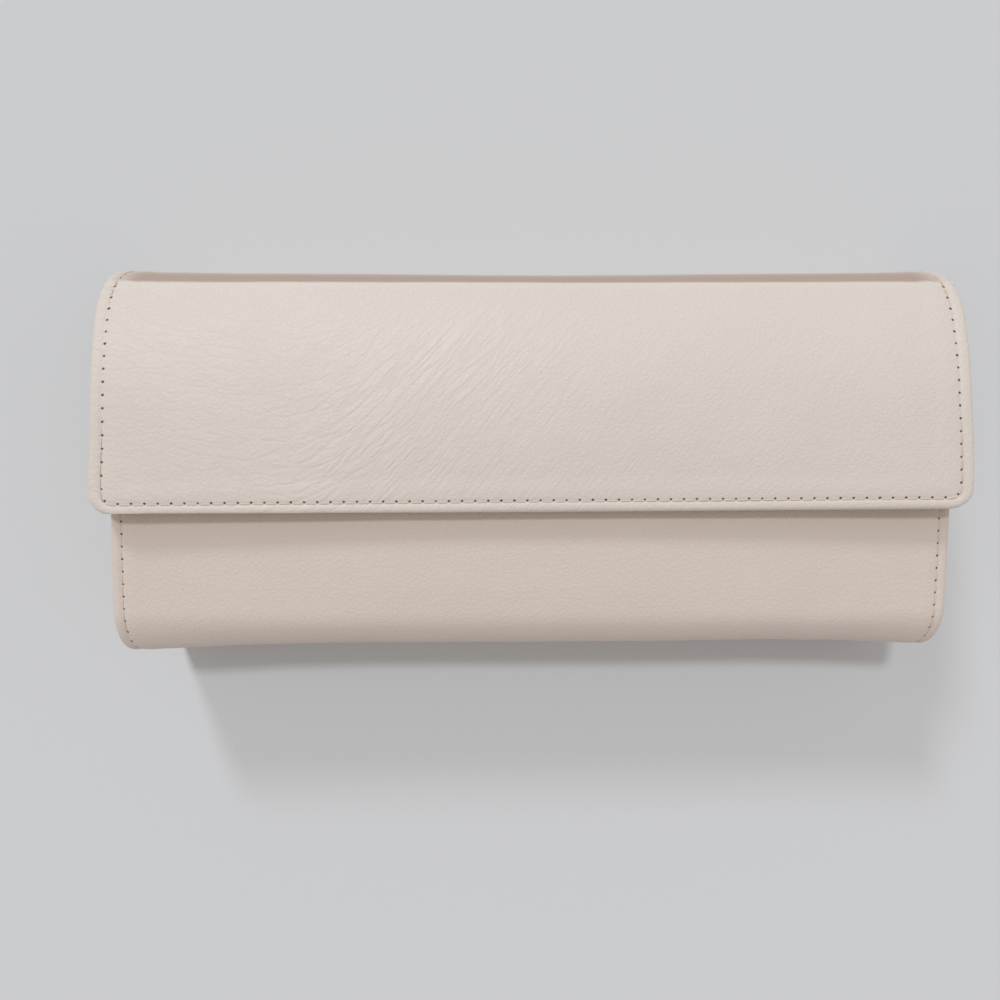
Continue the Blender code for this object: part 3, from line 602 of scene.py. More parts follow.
def read_places(obj):
    places = np.empty(len(obj.data.vertices) * 3, np.float32)
    obj.data.vertices.foreach_get("co", places)
    return places.reshape(-1, 3).astype(float)


def write_places(obj, places):
    obj.data.vertices.foreach_set("co", places.astype(np.float32).ravel())
    obj.data.update()


def store(obj, attributes):
    """Keeps a vector for each vertex, as an attribute of each name."""
    for name, vectors in attributes.items():
        made = obj.data.attributes.new(name, "FLOAT_VECTOR", "POINT")
        made.data.foreach_set("vector", vectors.astype(np.float32).ravel())


def plain_cut(obj, places):
    """The attributes of leather that is far from any seam, with little wrinkling."""
    far = np.full_like(places, 9.0) * np.array([1.0, 1.0, 0.02])
    store(obj, {"hide": places, "seam": far, "creases": places})


def plain_grid(name, across, along):
    """A flat grid of two metres."""
    deselect()
    bpy.ops.mesh.primitive_grid_add(x_subdivisions=across - 1, y_subdivisions=along - 1, size=2.0)
    obj = bpy.context.object
    obj.name = name
    obj.data.name = name
    return obj


def grid_index(places, across, along):
    """The column and the row of each vertex of a flat grid."""
    column = np.rint((places[:, 0] + 1) / 2 * (across - 1)).astype(int)
    row = np.rint((places[:, 1] + 1) / 2 * (along - 1)).astype(int)
    return column, row


def between(first, last, part):
    return first + (last - first) * part


def bell(gap, width):
    """1 at no gap, fading smoothly on both sides over a width."""
    return np.exp(-((gap / width) ** 2))


def ramp(values, start, run):
    """0 up to the start, 1 from the end of the run, smooth between."""
    clipped = np.clip((values - start) / run, 0, 1)
    return clipped * clipped * (3 - 2 * clipped)


def spread(x, along, third=0.0):
    """A row of three numbers for each place of a sheet."""
    return np.column_stack([x, along, np.zeros_like(x) + third])


def rumple(places, scale, seed):
    """Smooth noise from -1 to 1 at each place."""
    shift = Vector((seed, seed * 1.7, seed * 0.3))
    return np.array([noise.noise(Vector(place) * scale + shift) for place in places])


def waves(places, layers):
    return sum(rumple(places, scale, seed) * height for scale, seed, height in layers)


def arc(centre, radius, first, last, steps=24):
    angles = np.radians(np.linspace(first, last, steps + 1))
    return [(centre[0] + radius * math.cos(a), centre[1] + radius * math.sin(a)) for a in angles]


def placed(spot, ways):
    """The matrix that puts a shape at a place, with its axes along three ways."""
    return Matrix.Translation(spot) @ Matrix(ways).transposed().to_4x4()


class Section:
    """A line in the Y-Z plane that a hide follows, by the length along it."""

    def __init__(self, corners, rounding=SOFTEN):
        points = [np.array(corners[0])]
        for first, last in zip(corners, corners[1:]):
            count = max(1, math.ceil(math.dist(first, last) / STEP))
            for step in range(1, count + 1):
                points.append(np.array(first) + (np.array(last) - first) * step / count)
        points = np.array(points)
        reach = int(3 * rounding / STEP)
        weights = np.exp(-0.5 * (np.arange(-reach, reach + 1) * STEP / rounding) ** 2)
        weights /= weights.sum()
        before = 2 * points[0] - points[reach:0:-1]
        after = 2 * points[-1] - points[-2:-reach - 2:-1]
        padded = np.vstack([before, points, after])
        points = np.column_stack([np.convolve(padded[:, axis], weights, "valid") for axis in (0, 1)])
        gaps = np.linalg.norm(np.diff(points, axis=0), axis=1)
        self.points = points
        self.lengths = np.concatenate([[0], np.cumsum(gaps)])
        self.length = self.lengths[-1]
        self.ways = np.unwrap(np.arctan2(np.diff(points[:, 1]), np.diff(points[:, 0])))
        self.middles = (self.lengths[1:] + self.lengths[:-1]) / 2

    def place(self, along):
        y = np.interp(along, self.lengths, self.points[:, 0])
        z = np.interp(along, self.lengths, self.points[:, 1])
        return y, z

    def way(self, along):
        return np.interp(along, self.middles, self.ways)

    def nearest(self, y, z):
        gaps = np.hypot(self.points[:, 0] - y, self.points[:, 1] - z)
        return float(self.lengths[int(gaps.argmin())])

    def bent(self, x, along, depth):
        """World places for places on the flat hide. Depth goes into the case."""
        y, z = self.place(along)
        way = self.way(along)
        return np.column_stack([x, y - depth * np.sin(way), z + depth * np.cos(way)])

    def inner_frame(self, x, along, depth):
        """A place on the hide's inner side: X along the width, Z into the case."""
        way = float(self.way(along))
        inward = Vector((0, -math.sin(way), math.cos(way)))
        side = Vector((1, 0, 0))
        return placed(self.bent(x, along, depth)[0], (side, inward.cross(side), inward))


def flap_height(y):
    """Height of the flap's face: level by the lip, curling down to the crease."""
    if y <= LEVEL_Y:
        return DEPTH
    return DEPTH - (DEPTH - CREASE_Z) * ((y - LEVEL_Y) / (CREASE_Y - LEVEL_Y)) ** CURL_POWER


def lid_section(steps=40):
    """From the seam in the spine over the crease to the lip."""
    inset = TOP_Y - CREASE_Y
    rise = CREASE_Z - SPINE_STRAIGHT_Z
    radius = (rise * rise + inset * inset) / (2 * inset)
    points = [(TOP_Y, SEAM_Z)]
    points += arc((TOP_Y - radius, SPINE_STRAIGHT_Z), radius, 0, math.degrees(math.asin(rise / radius)))
    for step in range(1, steps + 1):
        y = CREASE_Y + (LEVEL_Y - CREASE_Y) * step / steps
        points.append((y, flap_height(y)))
    points.append((LIP_Y, DEPTH))
    return Section(points)


FRONT = Section([(MOUTH_Y, MOUTH_Z),
                 *arc((BOTTOM_Y + ROLL_RADIUS, FOOT_Z - ROLL_RADIUS), ROLL_RADIUS, 90, 180),
                 *arc((BOTTOM_Y + BOTTOM_CORNER, BOTTOM_CORNER), BOTTOM_CORNER, 180, 270)])
BACK = Section([(BACK_START_Y, 0.0),
                *arc((TOP_Y - SPINE_CORNER, SPINE_CORNER), SPINE_CORNER, 270, 360),
                (TOP_Y, SEAM_Z)], SOFTEN / 3)
LID = lid_section()
CREASE = LID.nearest(CREASE_Y, CREASE_Z)
BACK_BEND = BACK.nearest(CORNER_Y, CORNER_Z)
LINING_END = LID.length - 0.0022

# How far the sides and the foot stand out of straight, in millimetres at shares of their run
FOOT_RUN = FRONT.nearest(BOTTOM_Y, FOOT_Z - ROLL_RADIUS)
PANEL_SHARES = (0.0, 0.3, 0.6, 0.75, 0.9, 1.0, 1.5)
PANEL_LEFT = (0.5, 0.6, 0.95, 1.0, 0.75, 0.75, 0.4)
PANEL_RIGHT = (0.8, 0.8, 0.7, 0.5, 0.2, 0.5, 0.3)
FOOT_SHARES = (-1.0, -0.9, -0.75, -0.5, 0.0, 0.35, 0.62, 0.8, 0.9, 1.0)
FOOT_BOW = (-0.9, -0.75, 0.1, 0.6, 0.55, 0.6, 0.85, 0.5, -0.1, -0.4)
FOOT_REACH = 0.008
BOW_SHARES = (-0.1, 0.0, 0.07, 0.16, 0.25, 0.42, 0.55, 0.7, 0.85, 1.0)
LEFT_BOW = (-0.1, -0.15, 0.7, 0.77, 0.42, -0.09, -0.29, -0.28, 0.15, 0.0)
RIGHT_BOW = (0.0, 0.15, 0.9, 1.12, 0.69, 0.29, 0.06, 0.34, 0.44, 0.33)
BOW_POWER = 6

# The flap's seam: down one side, round a corner, along the lip and back up
BEND_RUN = (CORNER_RADIUS - RIM_WIDTH) * math.pi / 2
SIDE_RUN = LID.length - CORNER_RADIUS
LIP_RUN = 2 * (FLAP_HALF - CORNER_RADIUS / SIDE_SHARE)
LID_RUN = 2 * (SIDE_RUN + BEND_RUN) + LIP_RUN


def stations(first, last, spacing, near_first=False, near_last=False, rim_share=1.0):
    """Places along a side: closer together by an edge that is rounded."""
    rim = [gap * MM / rim_share for gap in RIM_STATIONS]
    low = [first + gap for gap in rim] if near_first else [first]
    high = [last - gap for gap in reversed(rim)] if near_last else [last]
    count = max(1, round((high[0] - low[-1]) / spacing))
    middle = [low[-1] + (high[0] - low[-1]) * step / count for step in range(1, count)]
    return np.array(low + middle + high)


def stations_through(stops, spacing):
    """Places through several stops, with each stop once."""
    runs = [stations(first, last, spacing) for first, last in zip(stops, stops[1:])]
    return np.concatenate([runs[0], *(run[1:] for run in runs[1:])])


def cut_window(obj, columns, rows, window):
    """Deletes the faces of a flat grid that lie in a window of low x, high x, low and high row."""
    only(obj)
    bpy.ops.object.mode_set(mode="EDIT")
    bpy.ops.mesh.select_mode(type="FACE")
    bpy.ops.mesh.select_all(action="DESELECT")
    bm = bmesh.from_edit_mesh(obj.data)
    for face in bm.faces:
        middle = face.calc_center_median()
        x = np.interp((middle.x + 1) / 2 * (len(columns) - 1), range(len(columns)), columns)
        along = np.interp((middle.y + 1) / 2 * (len(rows) - 1), range(len(rows)), rows)
        face.select_set(bool(window[0] < x < window[1] and window[2] < along < window[3]))
    bmesh.update_edit_mesh(obj.data)
    bpy.ops.mesh.delete(type="FACE")
    bpy.ops.mesh.select_mode(type="VERT")
    bpy.ops.object.mode_set(mode="OBJECT")


def slab(name, columns, rows, shape, window=None):
    """A closed hide on a grid. From the nominal x, the length along and whether it is the inner
    face, shape gives the places, and the attributes by name."""
    across, along = len(columns), len(rows)
    obj = plain_grid(name, across, along)
    if window:
        cut_window(obj, columns, rows, window)
    edit(obj, bpy.ops.mesh.extrude_region_move, TRANSFORM_OT_translate={"value": (0, 0, -1)})
    flat = read_places(obj)
    column, row = grid_index(flat, across, along)
    places, attributes = shape(columns[column], rows[row], flat[:, 2] < -0.5)
    write_places(obj, places)
    store(obj, attributes)
    edit(obj, bpy.ops.mesh.normals_make_consistent, inside=False)
    smooth()
    return obj


def even_pitch(run, pitch):
    return run / max(1, round(run / pitch))


def rim_drop(edge, radius):
    """How far a rounded rim lies below the face, by the distance from the edge."""
    inside = np.clip(radius - edge, 0, radius)
    return radius - np.sqrt(np.maximum(radius * radius - inside * inside, 0))


def groove(edge):
    """Depth of the groove that the stitches pull down, less the swells on both its sides."""
    dip = GROOVE_DEPTH * bell(edge - RIM_WIDTH, GROOVE_WIDTH)
    piping = PIPING_SHARE * PUFF * bell(edge - PIPING_PLACE, PIPING_WIDTH)
    return dip - PUFF * bell(edge - SWELL_PLACE, SWELL_WIDTH) - piping


def under_side(edge, margin, thick, skin, rounding=TURNED_SHARE):
    """Depth of a hide's inner face: thick in its turned-in rim, plain skin past it."""
    return np.where(edge < margin + SNUG, thick - rim_drop(edge, thick * rounding), skin)


def cut_marks(x, down, depth, phase, edge, wrinkles=None, strength=FAINT):
    """The attributes of a hide. The phase counts its stitches along the seam."""
    return {"hide": spread(x, down, depth),
            "seam": spread(phase, (edge - RIM_WIDTH) / MM, strength),
            "creases": spread(x, down) if wrinkles is None else wrinkles}


def round_corner(across, below, radius):
    """Bends a square corner round. Gives how far places reach into it both ways, in radii,
    and which of them lie in it."""
    p = np.clip((radius - across) / radius, 0, 1)
    q = np.clip((radius - below) / radius, 0, 1)
    return p * np.sqrt(1 - q * q / 2), q * np.sqrt(1 - p * p / 2), (p > 0) & (q > 0)


def past_crease(along):
    return ramp(along - CREASE, FLAP_START, FLAP_RUN)


def thickening(along):
    return ramp(along - CREASE, THICKEN_START, THICKEN_RUN)


def at_crease(along):
    return bell(along - CREASE, CREASE_REACH)


def lid_thick(along):
    """Thickness of the spine and the flap at their rims, thinner at the crease."""
    thick = between(SPINE_THICK, FLAP_THICK, thickening(along))
    return thick - (thick - CREASE_THICK) * at_crease(along) * CREASE_SHARE


def bowed(x, half, share, shares, left, right):
    """Moves both sides out of straight, the left one and the right one by a row each."""
    out = np.where(x < 0, np.interp(share, shares, left), np.interp(share, shares, right))
    return x + np.sign(x) * out * MM * np.abs(x / half) ** BOW_POWER


def side_bow(x, along):
    """Moves the flap's sides out of straight, and tilts the lip slightly."""
    share = (along - CREASE) / (LID.length - CREASE)
    tilt = np.where(x < 0, LIP_DROP, LIP_LIFT) * np.clip(x / FLAP_HALF, -1, 1)
    new_x = bowed(x, FLAP_HALF, share, BOW_SHARES, LEFT_BOW, RIGHT_BOW)
    return new_x, along - tilt * ramp(share * TILT_STRETCH, TILT_START, 1.0)


def crown(along):
    """How much the padding lifts the middle of the curled part of the flap."""
    share = np.clip((along - CREASE) / (LID.length - CREASE), 0, 1)
    return CROWN * np.sin(np.pi * np.clip(share / CROWN_END, 0, 1)) ** CROWN_POWER


def lip_sag(x, along):
    """How far the middle of the lip hangs below its ends."""
    reach = ramp(along - LID.length, LIP_SAG_START, LIP_SAG_RUN)
    return LIP_SAG * (1 - (x / FLAP_HALF) ** 2) * reach


def spine_sag(x, edge):
    return SPINE_SAG * (1 - (x / FLAP_HALF) ** 2) * ramp(edge, 0.0, SPINE_SAG_RUN)


def hide_waves(x, along, edge):
    """Slow waves of the skin over the spine and the flap, by the length from the seam."""
    flat = spread(x, along)
    quick = waves(flat * np.array([1.0, 1.6, 1.0]), QUICK_WAVES)
    return (waves(flat, HIDE_WAVES) + quick) * ramp(edge, 0.0, WAVE_FADE)


def creases(x, down):
    """Where each place lies along and across the wrinkles, and how strong they are there.
    They lie level on the left, turn up to the right before the middle and fade by the fold."""
    rising = WRINKLE_RISE * WRINKLE_TURN * np.logaddexp(0, (x - WRINKLE_X) / WRINKLE_TURN)
    band = bell(x - DRAWN_X + DRAWN_LEAN * (down - DRAWN_DOWN), DRAWN_WIDTH)
    strength = PLAIN + DRAWN * band - CALMED * ramp(x, CALM_START, CALM_RUN)
    strength = strength * ramp(down, WRINKLE_START, WRINKLE_RUN)
    return spread(x, down + rising - WRINKLE_FALL * x), strength


def lid_plan(x, along):
    """Rounds the flap's lower corners. Gives x, the length along, the distance from the edge
    and the run along the seam."""
    across = (FLAP_HALF - np.abs(x)) * SIDE_SHARE
    below = LID.length - along
    round_p, round_q, corner = round_corner(across, below, CORNER_RADIUS)
    edge = np.where(corner, CORNER_RADIUS * (1 - np.hypot(round_p, round_q)), np.minimum(across, below))
    corner_x = FLAP_HALF - CORNER_RADIUS * (1 - round_p) / SIDE_SHARE
    new_x = np.where(corner, np.sign(x) * corner_x, x)
    new_along = np.where(corner, LID.length - CORNER_RADIUS + CORNER_RADIUS * round_q, along)
    turn = np.arctan2(round_q, np.maximum(round_p, 1e-9))
    half_run = np.where(corner, SIDE_RUN + BEND_RUN * turn / (math.pi / 2), along)
    run = np.where(x < 0, half_run, LID_RUN - half_run)
    on_lip = (below < across) & ~corner
    return new_x, new_along, edge, np.where(on_lip, SIDE_RUN + BEND_RUN + x + LIP_RUN / 2, run)


def lid_shape(pitch):
    def shape(x, along, inner):
        x, along, edge, run = lid_plan(x, along)
        pinch = at_crease(along) * bell(FLAP_HALF - np.abs(x), PINCH_REACH)
        folds = pinch * PINCH_DEPTH * np.sin(along * PLEATS_ALONG + x * PLEATS_ACROSS)
        outer = rim_drop(edge, RIM_ROUNDING) + groove(edge) - hide_waves(x, along, edge) + folds
        outer = outer + spine_sag(x, edge) * ramp(CREASE + SAG_STOP - along, 0.0, SAG_FADE)
        outer = outer - crown(along)
        skin = between(CASE_SKIN, SKIN, thickening(along))
        margin = between(SPINE_MARGIN, RIM_WIDTH, past_crease(along))
        depth = np.where(inner, under_side(edge, margin, lid_thick(along), skin), outer)
        places = LID.bent(*side_bow(x, along), depth + lip_sag(x, along))
        marks = cut_marks(x, along - CREASE, depth, run / pitch, edge, *creases(x, along - CREASE))
        return places, marks
    return shape


def back_half(along):
    """Half the width of the back, drawn in to the front panel's round its lower corners."""
    near = np.clip(1 - along / BACK_TAPER, 0, 1)
    return FLAP_HALF - (FLAP_HALF - FRONT_HALF) * (1 - np.sqrt(1 - near * near))


def up_spine(along):
    """0 at the back's fold, 1 at the seam in the spine."""
    return ramp(along, BACK_BEND, BACK.length - BACK_BEND)


def back_shape(pitch):
    def shape(x, along, inner):
        new_x = x * back_half(along) / FLAP_HALF
        edge = (FLAP_HALF - np.abs(x)) * SIDE_SHARE
        down = along - BACK.length
        past_fold = ramp(along, BACK_BEND, CORNER_RUN)
        thick = between(CASE_SKIN, SPINE_THICK, past_fold)
        rounding = np.minimum(RIM_ROUNDING, thick * 0.5)
        outer = rim_drop(edge, rounding) + groove(edge) * np.where(thick > THIN, 1.0, 0.5)
        outer = outer - hide_waves(new_x, down, edge) + spine_sag(x, edge) * up_spine(along)
        margin = between(RIM_WIDTH, SPINE_MARGIN, past_fold)
        depth = np.where(inner, under_side(edge, margin, thick, CASE_SKIN), outer)
        marks = cut_marks(new_x, down - CREASE, depth, along / pitch, edge)
        return BACK.bent(new_x, along, depth), marks
    return shape


def foot_bow(x, along):
    """How far the bottom of the front panel lies inside a straight one."""
    y, _ = FRONT.place(along)
    bow = np.interp(x / FRONT_HALF, FOOT_SHARES, FOOT_BOW) * MM
    return bow * ramp(BOTTOM_Y + FOOT_REACH - y, 0.0, FOOT_REACH)


def panel_bulge(x, along):
    """How far the middle of the front panel stands out."""
    reach = ramp(along, BULGE_START, BULGE_RUN) * ramp(FOOT_RUN - BULGE_STOP - along, 0.0, BULGE_FADE)
    return PANEL_BULGE * (1 - (x / FRONT_HALF) ** 2) * reach


def panel_bow(x, along):
    """Moves the sides of the front panel out of straight."""
    return bowed(x, FRONT_HALF, along / FOOT_RUN, PANEL_SHARES, PANEL_LEFT, PANEL_RIGHT), along


def front_shape(pitch):
    def shape(x, along, inner):
        across = FRONT_HALF - np.abs(x)
        edge = np.minimum(across, along)
        skin_waves = waves(spread(x, along), FRONT_WAVES) * ramp(edge, 0.0, WAVE_FADE)
        outer = rim_drop(edge, FRONT_ROUNDING) + groove(across) - skin_waves
        outer = outer + foot_bow(x, along) - panel_bulge(x, along)
        under = under_side(edge, RIM_WIDTH, CASE_SKIN, CASE_SKIN, FRONT_TURNED_SHARE)
        depth = np.where(inner, under, outer)
        marks = cut_marks(x, along, depth, along / pitch, across)
        return FRONT.bent(*panel_bow(x, along), depth), marks
    return shape


def lining_half(along):
    """Half the width of the lining: narrower on the spine, between the gussets."""
    return between(LINING_SPINE_HALF, LINING_HALF, past_crease(along))


def lining_shape(x, along, inner):
    """The suede inside the lid, from the foot of the spine to the lip."""
    round_p, round_q, corner = round_corner(LINING_HALF - np.abs(x), LINING_END - along, LINING_CORNER)
    x = np.where(corner, np.sign(x) * (LINING_HALF - LINING_CORNER * (1 - round_p)), x)
    along = np.where(corner, LINING_END - LINING_CORNER * (1 - round_q), along)
    x = x * lining_half(along) / LINING_HALF
    flat = spread(x, along)
    face = np.where(inner, LINING_RISE, LINING_RISE - LINING_THICK)
    depth = lid_thick(along) + face + waves(flat, LID_LINING_WAVES) + lip_sag(x, along)
    return LID.bent(*side_bow(x, along), depth), {"hide": flat}


def strip_shape(section, depth_at):
    """A lining of one width that lies at a depth below the face of a hide."""
    def shape(x, along, inner):
        flat = spread(x, along)
        depth = depth_at(along) + np.where(inner, 0.0, -LINING_THICK) + waves(flat, STRIP_WAVES)
        return section.bent(x, along, depth), {"hide": flat}
    return shape


def corner_depth(along):
    """From the back board's face to where the lining of the spine starts."""
    return between(CASE_SKIN + BACK_BOARD + LINING_THICK, SPINE_THICK + LINING_RISE, up_spine(along))


def from_curve(name, lines, **settings):
    """A closed mesh from a curve's lines of points."""
    data = bpy.data.curves.new(name, "CURVE")
    for setting, value in settings.items():
        setattr(data, setting, value)
    for line in lines:
        spline = data.splines.new("POLY")
        spline.points.add(len(line) - 1)
        spline.use_cyclic_u = data.dimensions == "2D"
        for point, place in zip(spline.points, line):
            point.co = (*place, 1)
    only(added(name, data))
    bpy.ops.object.convert(target="MESH")
    obj = bpy.context.object
    tidy_shell(obj)
    return obj


def stitch_pattern(radius, pitch):
    """One stitch along X: a short thread whose ends go down into their holes."""
    half = pitch / 2
    knots = [(-0.97 * half, 0, -2.8 * radius), (-0.84 * half, 0, -0.6 * radius), (-0.5 * half, 0, 0)]
    knots += [(-x, 0, z) for x, _, z in reversed(knots)]
    return from_curve("stitch", [knots], dimensions="3D", bevel_depth=radius, bevel_resolution=1,
                      use_fill_caps=True)


def plate(name, outlines, thickness, bevel, matrix):
    """A flat plate from its outline and its holes, with softened edges."""
    lines = [[(x, y, 0) for x, y in outline] for outline in outlines]
    obj = from_curve(name, lines, dimensions="2D", fill_mode="BOTH", extrude=thickness / 2 - bevel,
                     bevel_depth=bevel, bevel_resolution=2)
    obj.data.transform(matrix)
    obj.data.update()
    return obj


def scatter(name, pattern, places):
    """Copies of a pattern at each place, as one piece."""
    bm = bmesh.new()
    for place in places:
        start = len(bm.verts)
        bm.from_mesh(pattern.data)
        bm.verts.ensure_lookup_table()
        bmesh.ops.transform(bm, matrix=place, verts=bm.verts[start:])
    mesh = bpy.data.meshes.new(name)
    bm.to_mesh(mesh)
    bm.free()
    obj = added(name, mesh)
    only(obj)
    bpy.ops.object.shade_smooth()
    return obj


def lid_seam_point(run):
    """Plan place of the flap's seam at a run along it."""
    mirrored = run > LID_RUN / 2
    left = LID_RUN - run if mirrored else run
    radius = CORNER_RADIUS - RIM_WIDTH
    if left < SIDE_RUN:
        x, along = RIM_WIDTH / SIDE_SHARE - FLAP_HALF, left
    elif left < SIDE_RUN + BEND_RUN:
        turn = (left - SIDE_RUN) / radius
        x = (CORNER_RADIUS - radius * math.cos(turn)) / SIDE_SHARE - FLAP_HALF
        along = SIDE_RUN + radius * math.sin(turn)
    else:
        x = left - SIDE_RUN - BEND_RUN - LIP_RUN / 2
        along = LID.length - RIM_WIDTH
    return (-x if mirrored else x), along


def seam_places(section, plan, run, pitch, depth_at, bow=None, flip=1.0, start=0.5):
    """The frames of a seam's stitches: X along the seam and Z out of the leather. From a run,
    plan gives the flat place, and from that depth_at gives the depth."""
    pitch = even_pitch(run, pitch)
    reach = pitch * STITCH_REACH
    places = []
    for number in range(round(run / pitch)):
        gone = (number + start) * pitch
        x, along = np.array([plan(gone + gap) for gap in (-reach, 0.0, reach)]).T
        if bow:
            x, along = bow(x, along)
        first, middle, last = map(Vector, section.bent(x, along, float(depth_at(*plan(gone)))))
        way = float(section.way(along[1]))
        out = Vector((0, math.sin(way), -math.cos(way))) * flip
        chord = (last - first).normalized()
        side = out.cross(chord).normalized()
        places.append(placed((first + middle + last) / 3, (chord, side, chord.cross(side))))
    return places


def side_seams(section, half_at, pitch, bow=None):
    """The places of the stitches down the left and down the right side of a hide."""
    sides = []
    for sign in (-1, 1):
        def plan(gone, sign=sign):
            return sign * float(half_at(max(gone, 0.0))), gone
        sides.append(seam_places(section, plan, section.length, pitch, lambda x, along: STITCH_SINK, bow))
    return sides


def copied_node(node, name, bevel, segments=2):
    """A copy of a CAD node as a clean shell, with its edges rounded."""
    obj = added(name, frame["nodes"][node].data.copy())
    edit(obj, bpy.ops.mesh.remove_doubles, threshold=SNUG)
    edit(obj, bpy.ops.mesh.dissolve_limited, angle_limit=math.radians(1.0))
    soften(obj, bevel, segments, 40)
    smooth()
    return obj


def remade(node, name, finish, body, bevel, segments=2):
    """A CAD node's rounded copy, in its finish and in the node's place."""
    return dress(copied_node(node, name, bevel, segments), finish, body, node)


class Lay:
    """How a flat CAD node lies: its long way, its width and its thickness."""

    def __init__(self, node):
        source = frame["nodes"][node]
        places = read_places(source) @ np.array(source.matrix_world.to_3x3()).T
        places = places + np.array(source.matrix_world.translation)
        low_x, high_x = places[:, 0].min(), places[:, 0].max()
        flat = places[:, 1:]
        long_way = np.linalg.svd(flat - flat.mean(axis=0), full_matrices=False)[2][0]
        thin_x = high_x - low_x < THIN
        if long_way[1] >= 0:
            long_way = -long_way
        if not thin_x and long_way[0] > 0:
            long_way = -long_way
        across = np.array([-long_way[1], long_way[0]])
        run, drop = flat @ long_way, flat @ across
        middle = long_way * (run.max() + run.min()) / 2 + across * (drop.max() + drop.min()) / 2
        first, second = Vector((0, *long_way)), Vector((0, *across))
        wide, deep = (high_x - low_x) / 2, drop.max() - drop.min()
        self.half_long = (run.max() - run.min()) / 2
        if thin_x:
            self.half_wide, self.thick = deep / 2, 2 * wide
            ways = (first, second, first.cross(second))
        else:
            self.half_wide, self.thick = wide, deep
            ways = (first, second.cross(first), second)
        self.matrix = placed(Vector(((high_x + low_x) / 2, *middle)), ways)


def rounded_outline(half_x, half_y, radius, steps=6):
    points = []
    for quarter, (sign_x, sign_y) in enumerate(((1, 1), (-1, 1), (-1, -1), (1, -1))):
        centre = (sign_x * (half_x - radius), sign_y * (half_y - radius))
        points += arc(centre, radius, 90 * quarter, 90 * quarter + 90, steps)
    return points


def tapered_outline(half, wide, narrow, radius, steps=8):
    """A pull's outline: narrow where it is held and round at its free end."""
    small = narrow * 0.6
    points = arc((half - radius, wide - radius), radius, 90, 0, steps)
    points += arc((half - radius, radius - wide), radius, 0, -90, steps)
    points += arc((small - half, small - narrow), small, 270, 180, steps)
    points += arc((small - half, narrow - small), small, 180, 90, steps)
    return points


def outline_places(outline, pitch, side):
    """Frames at even steps round an outline, with Z up or down."""
    points = np.array(outline + outline[:1])
    gaps = np.linalg.norm(np.diff(points, axis=0), axis=1)
    lengths = np.concatenate([[0], np.cumsum(gaps)])
    count = round(lengths[-1] / pitch)
    out = Vector((0, 0, side))
    places = []
    for number in range(count):
        run = (number + np.array([0.4, 0.6])) * lengths[-1] / count
        x, y = np.interp(run, lengths, points[:, 0]), np.interp(run, lengths, points[:, 1])
        way = Vector((x[1] - x[0], y[1] - y[0], 0)).normalized()
        places.append(placed((x.mean(), y.mean(), 0), (way, out.cross(way), out)))
    return places


class CaseStep:
    bl_options = {"REGISTER", "UNDO"}

    def execute(self, context):
        self.make(context.scene)
        return {"FINISHED"}


class CASE_OT_finishes(CaseStep, bpy.types.Operator):
    """Make the leather, suede, thread, board, foam and metal"""
    bl_idname = "jewelry_case.finishes"
    bl_label = "Finishes"

    def make(self, scene):
        hide, stitch = scene.case_leather, scene.case_stitch
        lining, metal = scene.case_lining, scene.case_metal
        leather_material("flap_leather_with_painted_shade", hide.flap, hide, stitch)
        # How far past the lip the painted shade under the flap reaches down the front panel
        covered = FRONT.nearest(LIP_Y - COVER_SHADE_REACH, FOOT_Z)
        leather_material("front_leather_with_painted_shade", hide.front, hide, stitch, covered)
        suede_material(lining.suede)
        thread_material(stitch.thread)
        board_material(lining.board)
        foam_material(lining.foam)
        metal_material("brass", metal.brass, 0.2)
        metal_material("steel", metal.steel, 0.3)
        tape_material(metal.tape)


class CASE_OT_flap_hide(CaseStep, bpy.types.Operator):
    """Bend the hide of the spine and the flap over the crease"""
    bl_idname = "jewelry_case.flap_hide"
    bl_label = "Flap Hide"

    def make(self, scene):
        columns = stations(-FLAP_HALF, FLAP_HALF, FLAP_FACE[0], True, True, SIDE_SHARE)
        rows = stations(0.0, LID.length, FLAP_FACE[1], False, True)
        hide = slab("flap_hide", columns, rows, lid_shape(even_pitch(LID_RUN, scene.case_stitch.pitch)))
        fold_at_crease(dress(hide, "flap_leather_with_painted_shade", None, "spine_leather", "flap_leather"))


class CASE_OT_back_hide(CaseStep, bpy.types.Operator):
    """Bend the hide of the back round into the spine"""
    bl_idname = "jewelry_case.back_hide"
    bl_label = "Back Hide"

    def make(self, scene):
        columns = stations(-FLAP_HALF, FLAP_HALF, BACK_FACE[0], True, True, SIDE_SHARE)
        rows = stations(0.0, BACK.length, BACK_FACE[1])
        hide = slab("back_hide", columns, rows, back_shape(even_pitch(BACK.length, scene.case_stitch.pitch)))
        fold_at_corner(dress(hide, "flap_leather_with_painted_shade", None, "back_leather"))


class CASE_OT_front_hide(CaseStep, bpy.types.Operator):
    """Roll the hide of the front panel round the bottom"""
    bl_idname = "jewelry_case.front_hide"
    bl_label = "Front Hide"

    def make(self, scene):
        columns = stations(-FRONT_HALF, FRONT_HALF, FRONT_FACE[0], True, True)
        rows = stations(0.0, FRONT.length, FRONT_FACE[1], True)
        pitch = even_pitch(FRONT.length, scene.case_stitch.pitch)
        hide = slab("front_hide", columns, rows, front_shape(pitch))
        dress(hide, "front_leather_with_painted_shade", "case", "front_leather")


